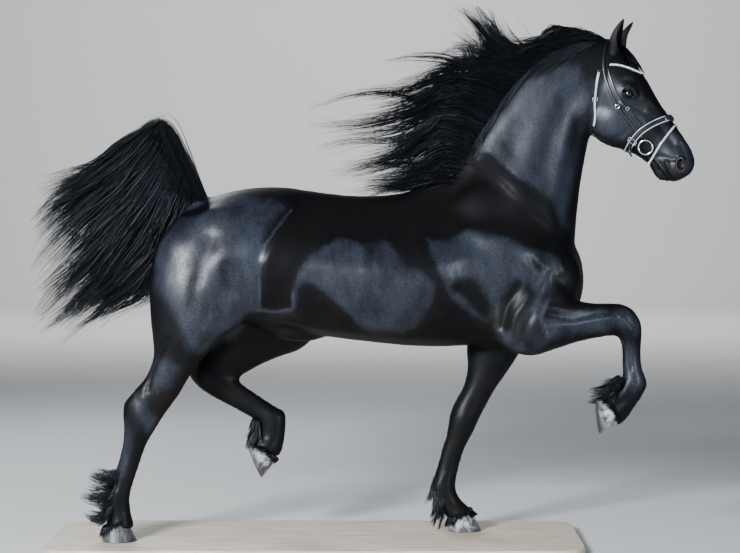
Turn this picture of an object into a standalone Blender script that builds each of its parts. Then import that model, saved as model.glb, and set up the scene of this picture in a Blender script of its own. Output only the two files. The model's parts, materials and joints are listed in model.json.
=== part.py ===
"""Friesian horse at the trot: body, bridle and display plate, metres, +Z up.

The head points to +X and the horse's right side to -Y. Heights in the tables are
above the top of the plate the feet stand on; everything is lifted by the plate's
thickness, and moved forward so that the middle of its length is at X 0, at the end.
"""

import math
import random

import bmesh
import bpy
import numpy as np
from mathutils import Matrix, Vector
from mathutils.bvhtree import BVHTree

PLATE_THICK = 0.030
PLATE_FROM_X = -1.36
PLATE_TO_X = 0.96
PLATE_HALF_WIDTH = 0.40
FORWARD = 0.012
GAP = 0.0003
BODY_VOXEL = 0.012
HEAD_VOXEL = 0.0065
BODY_FACES = 3700
HEAD_FACES = 1500

HEAD_PIVOT = (1.10, -0.01, 2.19)
HEAD_YAW = math.radians(-20)
HEAD_SLOPE = math.radians(60)
EYE_RADIUS = 0.023
EYE_AT = (0.252, 0.043, 0.0865)
HOOF_LENGTH = 0.150
HOOF_WIDTH = 0.142
HOOF_TOE_HEIGHT = 0.086
HOOF_HEEL_HEIGHT = 0.050

# trunk sections: x, top, bottom, half widths high, middle and low
TRUNK = (
    (-0.905, 1.27, 1.06, 0.03, 0.06, 0.03),
    (-0.87, 1.345, 1.01, 0.07, 0.135, 0.08),
    (-0.80, 1.415, 0.97, 0.12, 0.215, 0.14),
    (-0.72, 1.468, 0.95, 0.14, 0.255, 0.17),
    (-0.62, 1.512, 0.94, 0.16, 0.275, 0.19),
    (-0.50, 1.538, 0.935, 0.165, 0.285, 0.20),
    (-0.36, 1.545, 0.925, 0.15, 0.285, 0.20),
    (-0.22, 1.527, 0.89, 0.13, 0.285, 0.20),
    (-0.08, 1.510, 0.868, 0.12, 0.295, 0.205),
    (0.06, 1.508, 0.852, 0.115, 0.305, 0.20),
    (0.20, 1.525, 0.838, 0.10, 0.305, 0.19),
    (0.34, 1.585, 0.833, 0.07, 0.285, 0.175),
    (0.46, 1.610, 0.838, 0.06, 0.255, 0.165),
    (0.60, 1.56, 0.850, 0.09, 0.24, 0.155),
    (0.72, 1.50, 0.872, 0.12, 0.23, 0.145),
    (0.84, 1.42, 0.912, 0.13, 0.21, 0.13),
    (0.915, 1.33, 0.96, 0.11, 0.18, 0.11),
    (0.96, 1.25, 1.02, 0.07, 0.13, 0.08),
    (0.978, 1.19, 1.08, 0.03, 0.06, 0.03),
)

# neck sections: crest x z, throat x z, y, half widths at crest, middle and throat
NECK = (
    (0.36, 1.50, 0.88, 1.02, 0.0, 0.08, 0.205, 0.15),
    (0.40, 1.615, 0.935, 1.22, 0.0, 0.055, 0.185, 0.135),
    (0.445, 1.69, 0.952, 1.40, 0.0, 0.048, 0.158, 0.115),
    (0.515, 1.80, 0.968, 1.54, 0.0, 0.044, 0.135, 0.095),
    (0.60, 1.935, 0.985, 1.64, 0.0, 0.042, 0.118, 0.080),
    (0.70, 2.055, 1.000, 1.72, 0.0, 0.042, 0.106, 0.070),
    (0.81, 2.135, 1.010, 1.765, -0.002, 0.044, 0.098, 0.064),
    (0.91, 2.178, 1.020, 1.80, -0.005, 0.048, 0.092, 0.060),
    (1.01, 2.198, 1.045, 1.85, -0.010, 0.050, 0.086, 0.056),
    (1.09, 2.190, 1.090, 1.93, -0.020, 0.046, 0.078, 0.050),
)

# head sections: distance from the poll, face line, jaw line, three half widths
HEAD = (
    (-0.015, 0.010, 0.085, 0.030, 0.045, 0.035),
    (0.01, -0.012, 0.12, 0.045, 0.066, 0.050),
    (0.05, -0.024, 0.165, 0.055, 0.079, 0.056),
    (0.10, -0.036, 0.21, 0.060, 0.088, 0.060),
    (0.15, -0.044, 0.240, 0.066, 0.094, 0.060),
    (0.20, -0.050, 0.262, 0.072, 0.096, 0.056),
    (0.25, -0.053, 0.277, 0.072, 0.093, 0.050),
    (0.30, -0.052, 0.283, 0.062, 0.086, 0.043),
    (0.35, -0.053, 0.276, 0.051, 0.077, 0.037),
    (0.40, -0.057, 0.248, 0.043, 0.066, 0.034),
    (0.45, -0.063, 0.198, 0.038, 0.057, 0.034),
    (0.50, -0.067, 0.158, 0.034, 0.050, 0.033),
    (0.55, -0.070, 0.135, 0.032, 0.047, 0.032),
    (0.60, -0.071, 0.126, 0.033, 0.050, 0.032),
    (0.64, -0.064, 0.115, 0.036, 0.053, 0.030),
    (0.672, -0.045, 0.090, 0.032, 0.047, 0.026),
    (0.692, -0.018, 0.060, 0.020, 0.034, 0.018),
)

# limb sections: front edge x z, back edge x z, y, half width
HIND_RIGHT = (
    (-0.44, 1.40, -0.80, 1.43, -0.10, 0.06),
    (-0.40, 1.28, -0.885, 1.30, -0.145, 0.10),
    (-0.41, 1.15, -0.920, 1.15, -0.160, 0.125),
    (-0.455, 1.03, -0.920, 1.02, -0.165, 0.125),
    (-0.52, 0.945, -0.910, 0.90, -0.165, 0.110),
    (-0.60, 0.885, -0.903, 0.82, -0.160, 0.088),
    (-0.68, 0.80, -0.915, 0.765, -0.157, 0.070),
    (-0.745, 0.715, -0.945, 0.705, -0.155, 0.055),
    (-0.792, 0.634, -0.990, 0.655, -0.153, 0.045),
    (-0.835, 0.575, -1.032, 0.605, -0.150, 0.046),
    (-0.87, 0.525, -1.040, 0.555, -0.148, 0.050),
    (-0.90, 0.475, -1.035, 0.495, -0.147, 0.048),
    (-0.928, 0.430, -1.038, 0.44, -0.146, 0.040),
    (-0.952, 0.37, -1.050, 0.38, -0.145, 0.034),
    (-0.975, 0.30, -1.070, 0.31, -0.144, 0.033),
    (-0.995, 0.24, -1.092, 0.245, -0.143, 0.036),
    (-1.006, 0.20, -1.115, 0.20, -0.142, 0.043),
    (-1.007, 0.16, -1.112, 0.155, -0.141, 0.041),
    (-1.002, 0.12, -1.105, 0.115, -0.140, 0.042),
    (-0.992, 0.085, -1.112, 0.065, -0.140, 0.052),
    (-0.985, 0.055, -1.118, 0.035, -0.140, 0.056),
)
THIGH_LEFT = (
    (-0.36, 1.40, -0.84, 1.28, 0.10, 0.06),
    (-0.24, 1.25, -0.84, 1.10, 0.145, 0.115),
    (-0.17, 1.10, -0.76, 0.97, 0.155, 0.125),
    (-0.165, 0.98, -0.64, 0.89, 0.155, 0.110),
    (-0.18, 0.88, -0.50, 0.84, 0.155, 0.085),
)
GASKIN_LEFT = (
    (-0.175, 0.90, -0.30, 1.08, 0.155, 0.085),
    (-0.270, 0.812, -0.43, 1.02, 0.155, 0.088),
    (-0.37, 0.775, -0.52, 0.95, 0.152, 0.076),
    (-0.450, 0.740, -0.585, 0.88, 0.150, 0.060),
    (-0.53, 0.695, -0.65, 0.815, 0.147, 0.047),
    (-0.58, 0.662, -0.725, 0.785, 0.145, 0.045),
    (-0.62, 0.635, -0.775, 0.735, 0.143, 0.049),
    (-0.67, 0.610, -0.775, 0.690, 0.142, 0.040),
)
CANNON_LEFT = (
    (-0.620, 0.745, -0.775, 0.690, 0.143, 0.049),
    (-0.575, 0.695, -0.735, 0.640, 0.143, 0.048),
    (-0.535, 0.655, -0.655, 0.588, 0.142, 0.040),
    (-0.480, 0.618, -0.555, 0.535, 0.141, 0.034),
    (-0.425, 0.580, -0.490, 0.498, 0.141, 0.034),
    (-0.375, 0.548, -0.450, 0.462, 0.140, 0.041),
    (-0.343, 0.515, -0.440, 0.440, 0.140, 0.043),
)
PASTERN_LEFT = (
    (-0.350, 0.545, -0.455, 0.500, 0.140, 0.036),
    (-0.336, 0.505, -0.462, 0.468, 0.140, 0.042),
    (-0.338, 0.455, -0.462, 0.440, 0.140, 0.040),
    (-0.345, 0.410, -0.466, 0.415, 0.140, 0.042),
    (-0.353, 0.365, -0.492, 0.405, 0.140, 0.052),
    (-0.370, 0.325, -0.510, 0.390, 0.140, 0.056),
)
FORE_LEFT = (
    (0.86, 1.16, 0.50, 1.12, 0.15, 0.07),
    (0.81, 1.02, 0.48, 0.99, 0.160, 0.085),
    (0.765, 0.90, 0.475, 0.88, 0.158, 0.085),
    (0.715, 0.80, 0.470, 0.80, 0.152, 0.078),
    (0.66, 0.715, 0.475, 0.735, 0.146, 0.066),
    (0.60, 0.63, 0.460, 0.655, 0.141, 0.055),
    (0.565, 0.565, 0.425, 0.59, 0.138, 0.050),
    (0.535, 0.51, 0.400, 0.535, 0.136, 0.053),
    (0.515, 0.465, 0.387, 0.48, 0.134, 0.051),
    (0.487, 0.41, 0.380, 0.425, 0.133, 0.041),
    (0.462, 0.36, 0.360, 0.37, 0.132, 0.035),
    (0.443, 0.30, 0.343, 0.305, 0.131, 0.033),
    (0.430, 0.245, 0.325, 0.245, 0.130, 0.036),
    (0.422, 0.20, 0.305, 0.19, 0.130, 0.043),
    (0.430, 0.165, 0.322, 0.135, 0.130, 0.041),
    (0.455, 0.130, 0.350, 0.092, 0.130, 0.042),
    (0.492, 0.098, 0.385, 0.055, 0.130, 0.052),
    (0.530, 0.072, 0.400, 0.015, 0.130, 0.056),
)
FOREARM_RIGHT = (
    (0.84, 1.22, 0.52, 1.00, -0.15, 0.07),
    (0.88, 1.12, 0.60, 0.86, -0.172, 0.088),
    (0.905, 1.065, 0.72, 0.805, -0.176, 0.086),
    (0.96, 1.045, 0.84, 0.835, -0.174, 0.075),
    (1.02, 1.037, 0.935, 0.865, -0.172, 0.062),
    (1.085, 1.037, 1.03, 0.885, -0.170, 0.053),
    (1.145, 1.030, 1.09, 0.893, -0.170, 0.051),
    (1.185, 1.000, 1.118, 0.890, -0.170, 0.048),
)
CANNON_RIGHT = (
    (1.175, 1.015, 1.085, 0.960, -0.170, 0.048),
    (1.212, 0.960, 1.105, 0.910, -0.170, 0.053),
    (1.219, 0.900, 1.122, 0.880, -0.170, 0.048),
    (1.214, 0.840, 1.130, 0.830, -0.170, 0.036),
    (1.216, 0.780, 1.130, 0.775, -0.170, 0.033),
    (1.228, 0.730, 1.133, 0.735, -0.170, 0.037),
    (1.242, 0.695, 1.138, 0.705, -0.170, 0.042),
)
PASTERN_RIGHT = (
    (1.225, 0.715, 1.160, 0.765, -0.170, 0.036),
    (1.243, 0.680, 1.138, 0.730, -0.170, 0.043),
    (1.212, 0.620, 1.118, 0.682, -0.170, 0.041),
    (1.178, 0.570, 1.090, 0.650, -0.170, 0.042),
    (1.150, 0.530, 1.055, 0.635, -0.170, 0.052),
    (1.120, 0.505, 1.025, 0.635, -0.170, 0.056),
)

# bulging muscles: x, y, z of the middle, three radii, turn about Y in degrees
MUSCLES = (
    (0.64, 0.165, 1.20, 0.25, 0.085, 0.22, 20),
    (0.55, 0.105, 1.36, 0.17, 0.085, 0.21, 30),
    (0.86, 0.120, 1.15, 0.10, 0.090, 0.13, 0),
    (-0.56, 0.150, 1.29, 0.26, 0.120, 0.17, 10),
    (-0.72, 0.150, 1.20, 0.18, 0.110, 0.20, 0),
    (-0.42, 0.200, 1.22, 0.12, 0.080, 0.16, 0),
)

# hooves: name, ground middle x z, y, pitch in degrees
HOOVES = (
    ("hind_right", -1.052, 0.0, -0.140, 0.0),
    ("fore_left", 0.462, 0.0, 0.130, 0.0),
    ("fore_right", 1.025, 0.540, -0.170, 84.0),
    ("hind_left", -0.478, 0.303, 0.140, 66.0),
)


def clear_scene():
    for item in list(bpy.data.objects):
        bpy.data.objects.remove(item, do_unlink=True)


def link(name, mesh):
    item = bpy.data.objects.new(name, mesh)
    bpy.context.scene.collection.objects.link(item)
    return item


def solid(name, points, faces):
    """A mesh object from points and faces, its faces turned outwards."""
    mesh = bpy.data.meshes.new(name)
    mesh.from_pydata([tuple(p) for p in points], [], faces)
    shape = bmesh.new()
    shape.from_mesh(mesh)
    bmesh.ops.recalc_face_normals(shape, faces=shape.faces)
    shape.to_mesh(mesh)
    shape.free()
    return link(name, mesh)


def smooth_rows(rows, steps):
    """Rows of numbers carried on one smooth curve, with new rows in each gap."""
    table = np.array(rows, dtype=float)
    last = len(table) - 1
    out = []
    for i in range(last):
        before = table[max(i - 1, 0)]
        start = table[i]
        end = table[i + 1]
        after = table[min(i + 2, last)]
        for k in range(steps):
            t = k / steps
            bend = 2 * before - 5 * start + 4 * end - after
            curl = 3 * start - before - 3 * end + after
            out.append(start + 0.5 * ((end - before) * t + bend * t * t + curl * t ** 3))
    out.append(table[last])
    return np.array(out)


def ring_outline(widths, steps=3):
    """Closed section outline: share of the depth and half width, point by point."""
    high, middle, low = widths
    right = [(0.0, 0.0), (0.13, high), (0.5, middle), (0.87, low)]
    left = [(0.87, -low), (0.5, -middle), (0.13, -high)]
    points = np.array(right + [(1.0, 0.0)] + left)
    count = len(points)
    out = []
    for i in range(count):
        before = points[i - 1]
        start = points[i]
        end = points[(i + 1) % count]
        after = points[(i + 2) % count]
        for k in range(steps):
            t = k / steps
            bend = 2 * before - 5 * start + 4 * end - after
            curl = 3 * start - before - 3 * end + after
            out.append(start + 0.5 * ((end - before) * t + bend * t * t + curl * t ** 3))
    return np.array(out)


def skin_tube(name, sections, steps=4):
    """Tube through sections given as two edge points, y and three half widths."""
    rows = smooth_rows(sections, steps)
    points = []
    for row in rows:
        outline = ring_outline(row[5:8])
        first = np.array([row[0], row[4], row[1]])
        across = np.array([row[2] - row[0], 0.0, row[3] - row[1]])
        side = np.array([0.0, 1.0, 0.0])
        points += [first + across * f + side * w for f, w in outline]
    size = len(ring_outline((1, 1, 1)))
    faces = []
    for i in range(len(rows) - 1):
        for j in range(size):
            k = (j + 1) % size
            faces.append((i * size + j, i * size + k, (i + 1) * size + k, (i + 1) * size + j))
    faces.append(tuple(range(size)))
    faces.append(tuple(range((len(rows) - 1) * size, len(rows) * size)))
    return solid(name, points, faces)


def limb_tube(name, sections):
    rows = [s[:5] + (s[5] * 0.66, s[5], s[5] * 0.66) for s in sections]
    return skin_tube(name, rows)


def trunk_tube():
    rows = [(x, top, x, low, 0.0, a, b, c) for x, top, low, a, b, c in TRUNK]
    return skin_tube("trunk", rows)


def head_point(along, down, out):
    """World place of a point given along the face, towards the jaw and sideways."""
    forward = along * math.cos(HEAD_SLOPE) - down * math.sin(HEAD_SLOPE)
    drop = along * math.sin(HEAD_SLOPE) + down * math.cos(HEAD_SLOPE)
    turn = Matrix.Rotation(HEAD_YAW, 3, "Z")
    return Vector(HEAD_PIVOT) + turn @ Vector((forward, out, -drop))


def head_tube():
    rows = smooth_rows(HEAD, 4)
    points = []
    for along, face, jaw, a, b, c in rows:
        for f, w in ring_outline((a, b, c)):
            points.append(head_point(along, face + (jaw - face) * f, w))
    size = len(ring_outline((1, 1, 1)))
    faces = []
    for i in range(len(rows) - 1):
        for j in range(size):
            k = (j + 1) % size
            faces.append((i * size + j, i * size + k, (i + 1) * size + k, (i + 1) * size + j))
    faces.append(tuple(range(size)))
    faces.append(tuple(range((len(rows) - 1) * size, len(rows) * size)))
    return solid("head_tube", points, faces)


def ball(name, middle, radii, turn=None, detail=3):
    shape = bmesh.new()
    bmesh.ops.create_icosphere(shape, subdivisions=detail, radius=1.0)
    place = Matrix.Translation(Vector(middle))
    spin = turn.to_4x4() if turn else Matrix.Identity(4)
    scale = Matrix.Diagonal((*radii, 1.0))
    bmesh.ops.transform(shape, matrix=place @ spin @ scale, verts=shape.verts)
    mesh = bpy.data.meshes.new(name)
    shape.to_mesh(mesh)
    shape.free()
    return link(name, mesh)


def muscle_balls():
    out = []
    for x, y, z, a, b, c, lean in MUSCLES:
        turn = Matrix.Rotation(math.radians(lean), 3, "Y")
        for side in (-1, 1):
            out.append(ball("muscle", (x, side * y, z), (a, b, c), turn))
    return out


def head_frame():
    """Axes of the head: along the face, towards the jaw, to the left."""
    origin = head_point(0, 0, 0)
    along = head_point(1, 0, 0) - origin
    down = head_point(0, 1, 0) - origin
    out = head_point(0, 0, 1) - origin
    return Matrix((along, down, out)).transposed()


def head_ball(along, down, out, radii, detail=3):
    return ball("head_form", head_point(along, down, out), radii, head_frame(), detail)


HEAD_FORMS = (
    (0.300, 0.170, 0.045, 0.105, 0.100, 0.042),
    (0.245, 0.035, 0.060, 0.045, 0.036, 0.040),
    (0.340, 0.085, 0.058, 0.095, 0.016, 0.020),
    (0.170, 0.075, 0.065, 0.050, 0.045, 0.030),
    (0.635, -0.012, 0.030, 0.036, 0.034, 0.026),
    (0.660, 0.045, 0.018, 0.032, 0.034, 0.026),
    (0.620, 0.098, 0.014, 0.045, 0.026, 0.022),
)


def head_forms():
    out = []
    for along, down, side, a, b, c in HEAD_FORMS:
        for sign in (-1, 1):
            out.append(head_ball(along, down, sign * side, (a, b, c)))
    return out


def join(items, name):
    """One object holding the meshes of several, which are then removed."""
    shape = bmesh.new()
    for item in items:
        shape.from_mesh(item.data)
    mesh = bpy.data.meshes.new(name)
    shape.to_mesh(mesh)
    shape.free()
    for item in items:
        bpy.data.objects.remove(item, do_unlink=True)
    return link(name, mesh)


def apply_all(item):
    """Replace an object's mesh by what its modifiers make of it."""
    graph = bpy.context.evaluated_depsgraph_get()
    mesh = bpy.data.meshes.new_from_object(item.evaluated_get(graph))
    item.modifiers.clear()
    item.data = mesh


def fuse(item, voxel, faces, rounds):
    """Grow overlapping closed forms into one skin, soften it and thin its faces."""
    remesh = item.modifiers.new("fuse", "REMESH")
    remesh.mode = "VOXEL"
    remesh.voxel_size = voxel
    soften = item.modifiers.new("soften", "SMOOTH")
    soften.factor = 0.6
    soften.iterations = rounds
    apply_all(item)
    triangles = sum(len(p.vertices) - 2 for p in item.data.polygons)
    thin = item.modifiers.new("thin", "DECIMATE")
    thin.ratio = min(1.0, faces / triangles)
    apply_all(item)


def keep_largest(item):
    shape = bmesh.new()
    shape.from_mesh(item.data)
    left = set(shape.faces)
    best = []
    while left:
        seed = left.pop()
        group = [seed]
        queue = [seed]
        while queue:
            for edge in queue.pop().edges:
                for face in edge.link_faces:
                    if face in left:
                        left.remove(face)
                        group.append(face)
                        queue.append(face)
        if len(group) > len(best):
            best = group
    keep = set(best)
    bmesh.ops.delete(shape, geom=[f for f in shape.faces if f not in keep], context="FACES")
    shape.to_mesh(item.data)
    shape.free()


def boolean(item, other, operation, solver="EXACT", drop=True):
    cut = item.modifiers.new("cut", "BOOLEAN")
    cut.operation = operation
    cut.solver = solver
    cut.object = other
    apply_all(item)
    if drop:
        bpy.data.objects.remove(other, do_unlink=True)



# cuts that part the nodes: middle x z, line direction x z, length, y from, y to
PARTINGS = (
    (0.675, 1.465, 0.59, -0.33, 0.86, -0.5, 0.5),
    (-0.74, 0.885, 0.355, 0.055, 0.50, -0.40, -0.015),
    (-0.985, 0.470, 0.13, -0.015, 0.30, -0.30, -0.015),
    (-0.590, 0.755, -0.12, 0.12, 0.25, 0.03, 0.30),
    (-0.605, 0.640, -0.08, -0.11, 0.24, 0.03, 0.30),
    (0.595, 0.800, 1.0, 0.0, 0.36, 0.03, 0.32),
    (0.435, 0.420, 0.107, -0.015, 0.26, 0.03, 0.30),
    (0.978, 0.951, 0.085, 0.172, 0.27, -0.30, -0.06),
    (1.172, 0.870, 1.0, 0.0, 0.22, -0.30, -0.06),
)
HEAD_CUT = (1.022, 1.985, 0.018, 0.48)
HEAD_CUT_YAW = math.radians(-16)

# nodes of the parted body: name and a point deep inside it
BODY_NODES = (
    ("torso", 0.0, 0.0, 1.2),
    ("neck", 0.75, 0.0, 1.85),
    ("hind_right_upper", -0.86, -0.155, 0.68),
    ("hind_right_lower", -1.02, -0.145, 0.35),
    ("hind_left_upper", -0.68, 0.145, 0.70),
    ("hind_left_lower", -0.48, 0.14, 0.57),
    ("fore_left_upper", 0.54, 0.14, 0.65),
    ("fore_left_lower", 0.41, 0.13, 0.33),
    ("fore_right_upper", 1.06, -0.17, 0.96),
    ("fore_right_lower", 1.175, -0.17, 0.80),
)

# dock sections like the limbs', from the root to its end
DOCK = (
    (-0.640, 1.440, -0.760, 1.360, 0.0, 0.050),
    (-0.690, 1.500, -0.815, 1.440, 0.0, 0.052),
    (-0.722, 1.580, -0.822, 1.560, 0.0, 0.046),
    (-0.758, 1.680, -0.846, 1.660, 0.0, 0.042),
    (-0.800, 1.765, -0.876, 1.730, 0.0, 0.036),
    (-0.850, 1.820, -0.900, 1.775, 0.0, 0.028),
    (-0.900, 1.830, -0.925, 1.795, 0.0, 0.016),
)
EAR_RINGS = (
    (-0.030, 0.022, 0.020, 0.000),
    (0.000, 0.025, 0.023, 0.000),
    (0.020, 0.030, 0.026, -0.001),
    (0.050, 0.034, 0.026, -0.003),
    (0.080, 0.031, 0.021, -0.003),
    (0.108, 0.022, 0.014, 0.000),
    (0.130, 0.011, 0.008, 0.004),
    (0.145, 0.003, 0.003, 0.007),
)
EARS = (
    ("ear_right", -1, (-0.096, -0.106, 0.028), 0.15),
    ("ear_left", 1, (-0.080, -0.140, 0.028), 0.20),
)


def plank(middle, line, length, low, high, thick):
    """Flat box lying along a line of the side view, from one y to the other."""
    shape = bmesh.new()
    bmesh.ops.create_cube(shape, size=1.0)
    angle = -math.atan2(line[1], line[0])
    place = Matrix.Translation((middle[0], (low + high) / 2, middle[1]))
    turn = Matrix.Rotation(angle, 4, "Y")
    scale = Matrix.Diagonal((length, high - low, thick, 1.0))
    bmesh.ops.transform(shape, matrix=place @ turn @ scale, verts=shape.verts)
    mesh = bpy.data.meshes.new("plank")
    shape.to_mesh(mesh)
    shape.free()
    return link("plank", mesh)


def head_side_block(side):
    """Big block behind (-1) or in front (1) of the poll cut, half a gap off it."""
    x, z, dx, dz = HEAD_CUT
    thick = 0.60
    slope = (dx, dz)
    block = plank((0.0, 0.0), slope, 1.6, -0.5, 0.5, thick)
    off = side * (thick / 2 + GAP / 2)
    block.data.transform(Matrix.Translation((off, 0, 0)))
    turn = Matrix.Rotation(HEAD_CUT_YAW, 4, "Z")
    block.data.transform(Matrix.Translation((x, 0, z)) @ turn)
    return block


def islands(item):
    """Each closed surface of a mesh as an object of its own."""
    shape = bmesh.new()
    shape.from_mesh(item.data)
    shape.faces.ensure_lookup_table()
    left = set(shape.faces)
    groups = []
    while left:
        seed = left.pop()
        group = [seed]
        queue = [seed]
        while queue:
            for edge in queue.pop().edges:
                for face in edge.link_faces:
                    if face in left:
                        left.remove(face)
                        group.append(face)
                        queue.append(face)
        groups.append(group)
    out = []
    for group in groups:
        verts = sorted({v for f in group for v in f.verts}, key=lambda v: v.index)
        index = {v: i for i, v in enumerate(verts)}
        faces = [[index[v] for v in f.verts] for f in sorted(group, key=lambda f: f.index)]
        mesh = bpy.data.meshes.new("island")
        mesh.from_pydata([v.co for v in verts], [], faces)
        out.append(link("island", mesh))
    shape.free()
    bpy.data.objects.remove(item, do_unlink=True)
    return out


def mesh_tree(items):
    shape = bmesh.new()
    for item in items:
        shape.from_mesh(item.data)
    tree = BVHTree.FromBMesh(shape)
    shape.free()
    return tree


def grown(item, by):
    """Copy of a closed mesh with its surface moved outwards."""
    copy = link("grown", item.data.copy())
    push = copy.modifiers.new("push", "DISPLACE")
    push.strength = by
    push.mid_level = 0.0
    apply_all(copy)
    return copy


def stand_clear(item, other, by=GAP * 1.4):
    boolean(item, grown(other, by), "DIFFERENCE")
    keep_largest(item)


def flatten(item, degrees):
    """Merge faces that lie almost in one plane, then cut all into triangles."""
    shape = bmesh.new()
    shape.from_mesh(item.data)
    angle = math.radians(degrees)
    bmesh.ops.dissolve_limit(shape, angle_limit=angle, verts=shape.verts, edges=shape.edges)
    bmesh.ops.triangulate(shape, faces=shape.faces)
    shape.to_mesh(item.data)
    shape.free()


def hoof_place(x, z, y, pitch):
    return Matrix.Translation((x, y, z)) @ Matrix.Rotation(math.radians(pitch), 4, "Y")


def hoof_outline(length, width, middle, heel, count=20):
    """Outline of a hoof seen from above: round at the toe, square at the heel."""
    points = []
    for i in range(count):
        turn = 2 * math.pi * i / count
        c = math.cos(turn)
        s = math.sin(turn)
        power = 1.0 if c > 0 else heel
        x = middle + length / 2 * math.copysign(abs(c) ** power, c)
        points.append((x, width / 2 * math.copysign(abs(s) ** 0.9, s)))
    return points


def hoof_top(x):
    """Height of the coronet above the ground at a place along the hoof."""
    slope = (HOOF_TOE_HEIGHT - HOOF_HEEL_HEIGHT) / 0.105
    return HOOF_HEEL_HEIGHT + slope * (x + 0.075)


def hoof(name, place):
    """Horny box with a sunk sole and a raised frog."""
    low = hoof_outline(HOOF_LENGTH, HOOF_WIDTH, 0.0, 0.7, 16)
    high = hoof_outline(0.108, 0.112, -0.022, 0.8, 16)
    count = len(low)
    wall = 0.86
    points = [(x * wall, y * wall, 0.009) for x, y in low]
    points += [(x * wall, y * wall, GAP) for x, y in low]
    points += [(x, y, GAP) for x, y in low]
    for share in (0.5, 0.92, 1.0):
        for (x0, y0), (x1, y1) in zip(low, high):
            x = x0 + (x1 - x0) * share
            y = y0 + (y1 - y0) * share
            lift = hoof_top(x1) * share
            points.append((x, y, lift))
    faces = [tuple(range(count))]
    for r in range(5):
        for j in range(count):
            k = (j + 1) % count
            faces.append((r * count + j, r * count + k, (r + 1) * count + k, (r + 1) * count + j))
    faces.append(tuple(range(5 * count, 6 * count)))
    item = solid(name, points, faces)
    frog = [(-0.058, -0.020, 0.003), (-0.058, 0.020, 0.003), (0.028, 0.0, 0.005)]
    frog += [(x, y, 0.020) for x, y, z in frog]
    wedge = solid("frog", frog, [(0, 1, 2), (3, 4, 5), (0, 1, 4, 3), (1, 2, 5, 4), (2, 0, 3, 5)])
    boolean(item, wedge, "UNION")
    item.data.transform(place)
    return item


def coronet_cutter(place):
    """Box that takes off everything of a leg below the hoof's top face."""
    points = []
    for x in (-0.16, 0.15):
        for y in (-0.10, 0.10):
            points.append((x, y, -0.10))
            points.append((x, y, hoof_top(x) + GAP))
    faces = [(0, 1, 3, 2), (4, 5, 7, 6), (0, 1, 5, 4), (2, 3, 7, 6), (0, 2, 6, 4), (1, 3, 7, 5)]
    item = solid("coronet", points, faces)
    item.data.transform(place)
    return item


def parted_body():
    """The whole fused body without its head, cut into nodes."""
    parts = [trunk_tube(), skin_tube("neck_tube", NECK), limb_tube("limb", HIND_RIGHT)]
    for table in (THIGH_LEFT, GASKIN_LEFT, CANNON_LEFT, PASTERN_LEFT, FORE_LEFT):
        parts.append(limb_tube("limb", table))
    for table in (FOREARM_RIGHT, CANNON_RIGHT, PASTERN_RIGHT):
        parts.append(limb_tube("limb", table))
    parts += muscle_balls() + [head_tube()] + head_forms()
    body = join(parts, "body")
    fuse(body, BODY_VOXEL, BODY_FACES, 7)
    cutters = []
    for x, z, dx, dz, length, low, high in PARTINGS:
        cutters.append(plank((x, z), (dx, dz), length, low, high, GAP))
    cutters.append(head_side_block(1))
    for cutter in cutters:
        boolean(body, cutter, "DIFFERENCE")
    nodes = name_islands(islands(body))
    for name, x, z, y, pitch in HOOVES:
        foot = nodes[name.replace("hoof_", "") + "_lower"]
        boolean(foot, coronet_cutter(hoof_place(x, z, y, pitch)), "DIFFERENCE")
    return nodes


def holds(tree, inside):
    """Whether a closed surface has a point inside it, by counting its walls."""
    line = Vector((0.13, 0.21, 0.97)).normalized()
    spot = inside
    walls = 0
    while True:
        hit, normal, index, far = tree.ray_cast(spot, line)
        if hit is None:
            return walls % 2 == 1
        walls += 1
        spot = hit + line * 1e-5


def name_islands(pieces):
    """Name each island by the inner point it holds and drop the crumbs."""
    nodes = {}
    trees = [(piece, mesh_tree([piece])) for piece in pieces]
    for name, x, y, z in BODY_NODES:
        inside = Vector((x, y, z))
        nodes[name] = next(piece for piece, tree in trees if holds(tree, inside))
    for piece in pieces:
        if piece not in nodes.values():
            bpy.data.objects.remove(piece, do_unlink=True)
    return nodes


def bare_head():
    """Head in front of the poll cut, finer than the body."""
    parts = [skin_tube("neck_tube", NECK), head_tube()] + head_forms()
    head = join(parts, "head")
    fuse(head, HEAD_VOXEL, HEAD_FACES + 800, 8)
    boolean(head, head_side_block(-1), "DIFFERENCE")
    keep_largest(head)
    return head


def ear_tube(name, grow, shift):
    """Leaf-shaped tube along +Z whose opening faces +X."""
    rows = smooth_rows(EAR_RINGS, 1)
    count = 10
    points = []
    for height, half, depth, lean in rows:
        for i in range(count):
            turn = 2 * math.pi * i / count
            x = lean + shift + math.cos(turn) * depth * grow
            points.append((x, math.sin(turn) * half * grow, height))
    faces = []
    for r in range(len(rows) - 1):
        for j in range(count):
            k = (j + 1) % count
            faces.append((r * count + j, r * count + k, (r + 1) * count + k, (r + 1) * count + j))
    faces.append(tuple(range(count)))
    faces.append(tuple(range((len(rows) - 1) * count, len(rows) * count)))
    return solid(name, points, faces)


def ear(name, side, axis, twist):
    item = ear_tube(name, 1.0, 0.0)
    hollow = ear_tube("hollow", 0.80, 0.011)
    hollow.data.transform(Matrix.Translation((0, 0, 0.016)))
    boolean(item, hollow, "DIFFERENCE")
    keep_largest(item)
    base = head_point(0.055, 0.0, side * 0.050)
    up = head_frame() @ Vector((axis[0], axis[1], side * axis[2]))
    up.normalize()
    front = head_frame() @ Vector((0.45, -0.6, side * twist))
    front = (front - up * front.dot(up)).normalized()
    turn = Matrix((front, up.cross(front), up)).transposed().to_4x4()
    item.data.transform(Matrix.Translation(base) @ turn)
    return item


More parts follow.
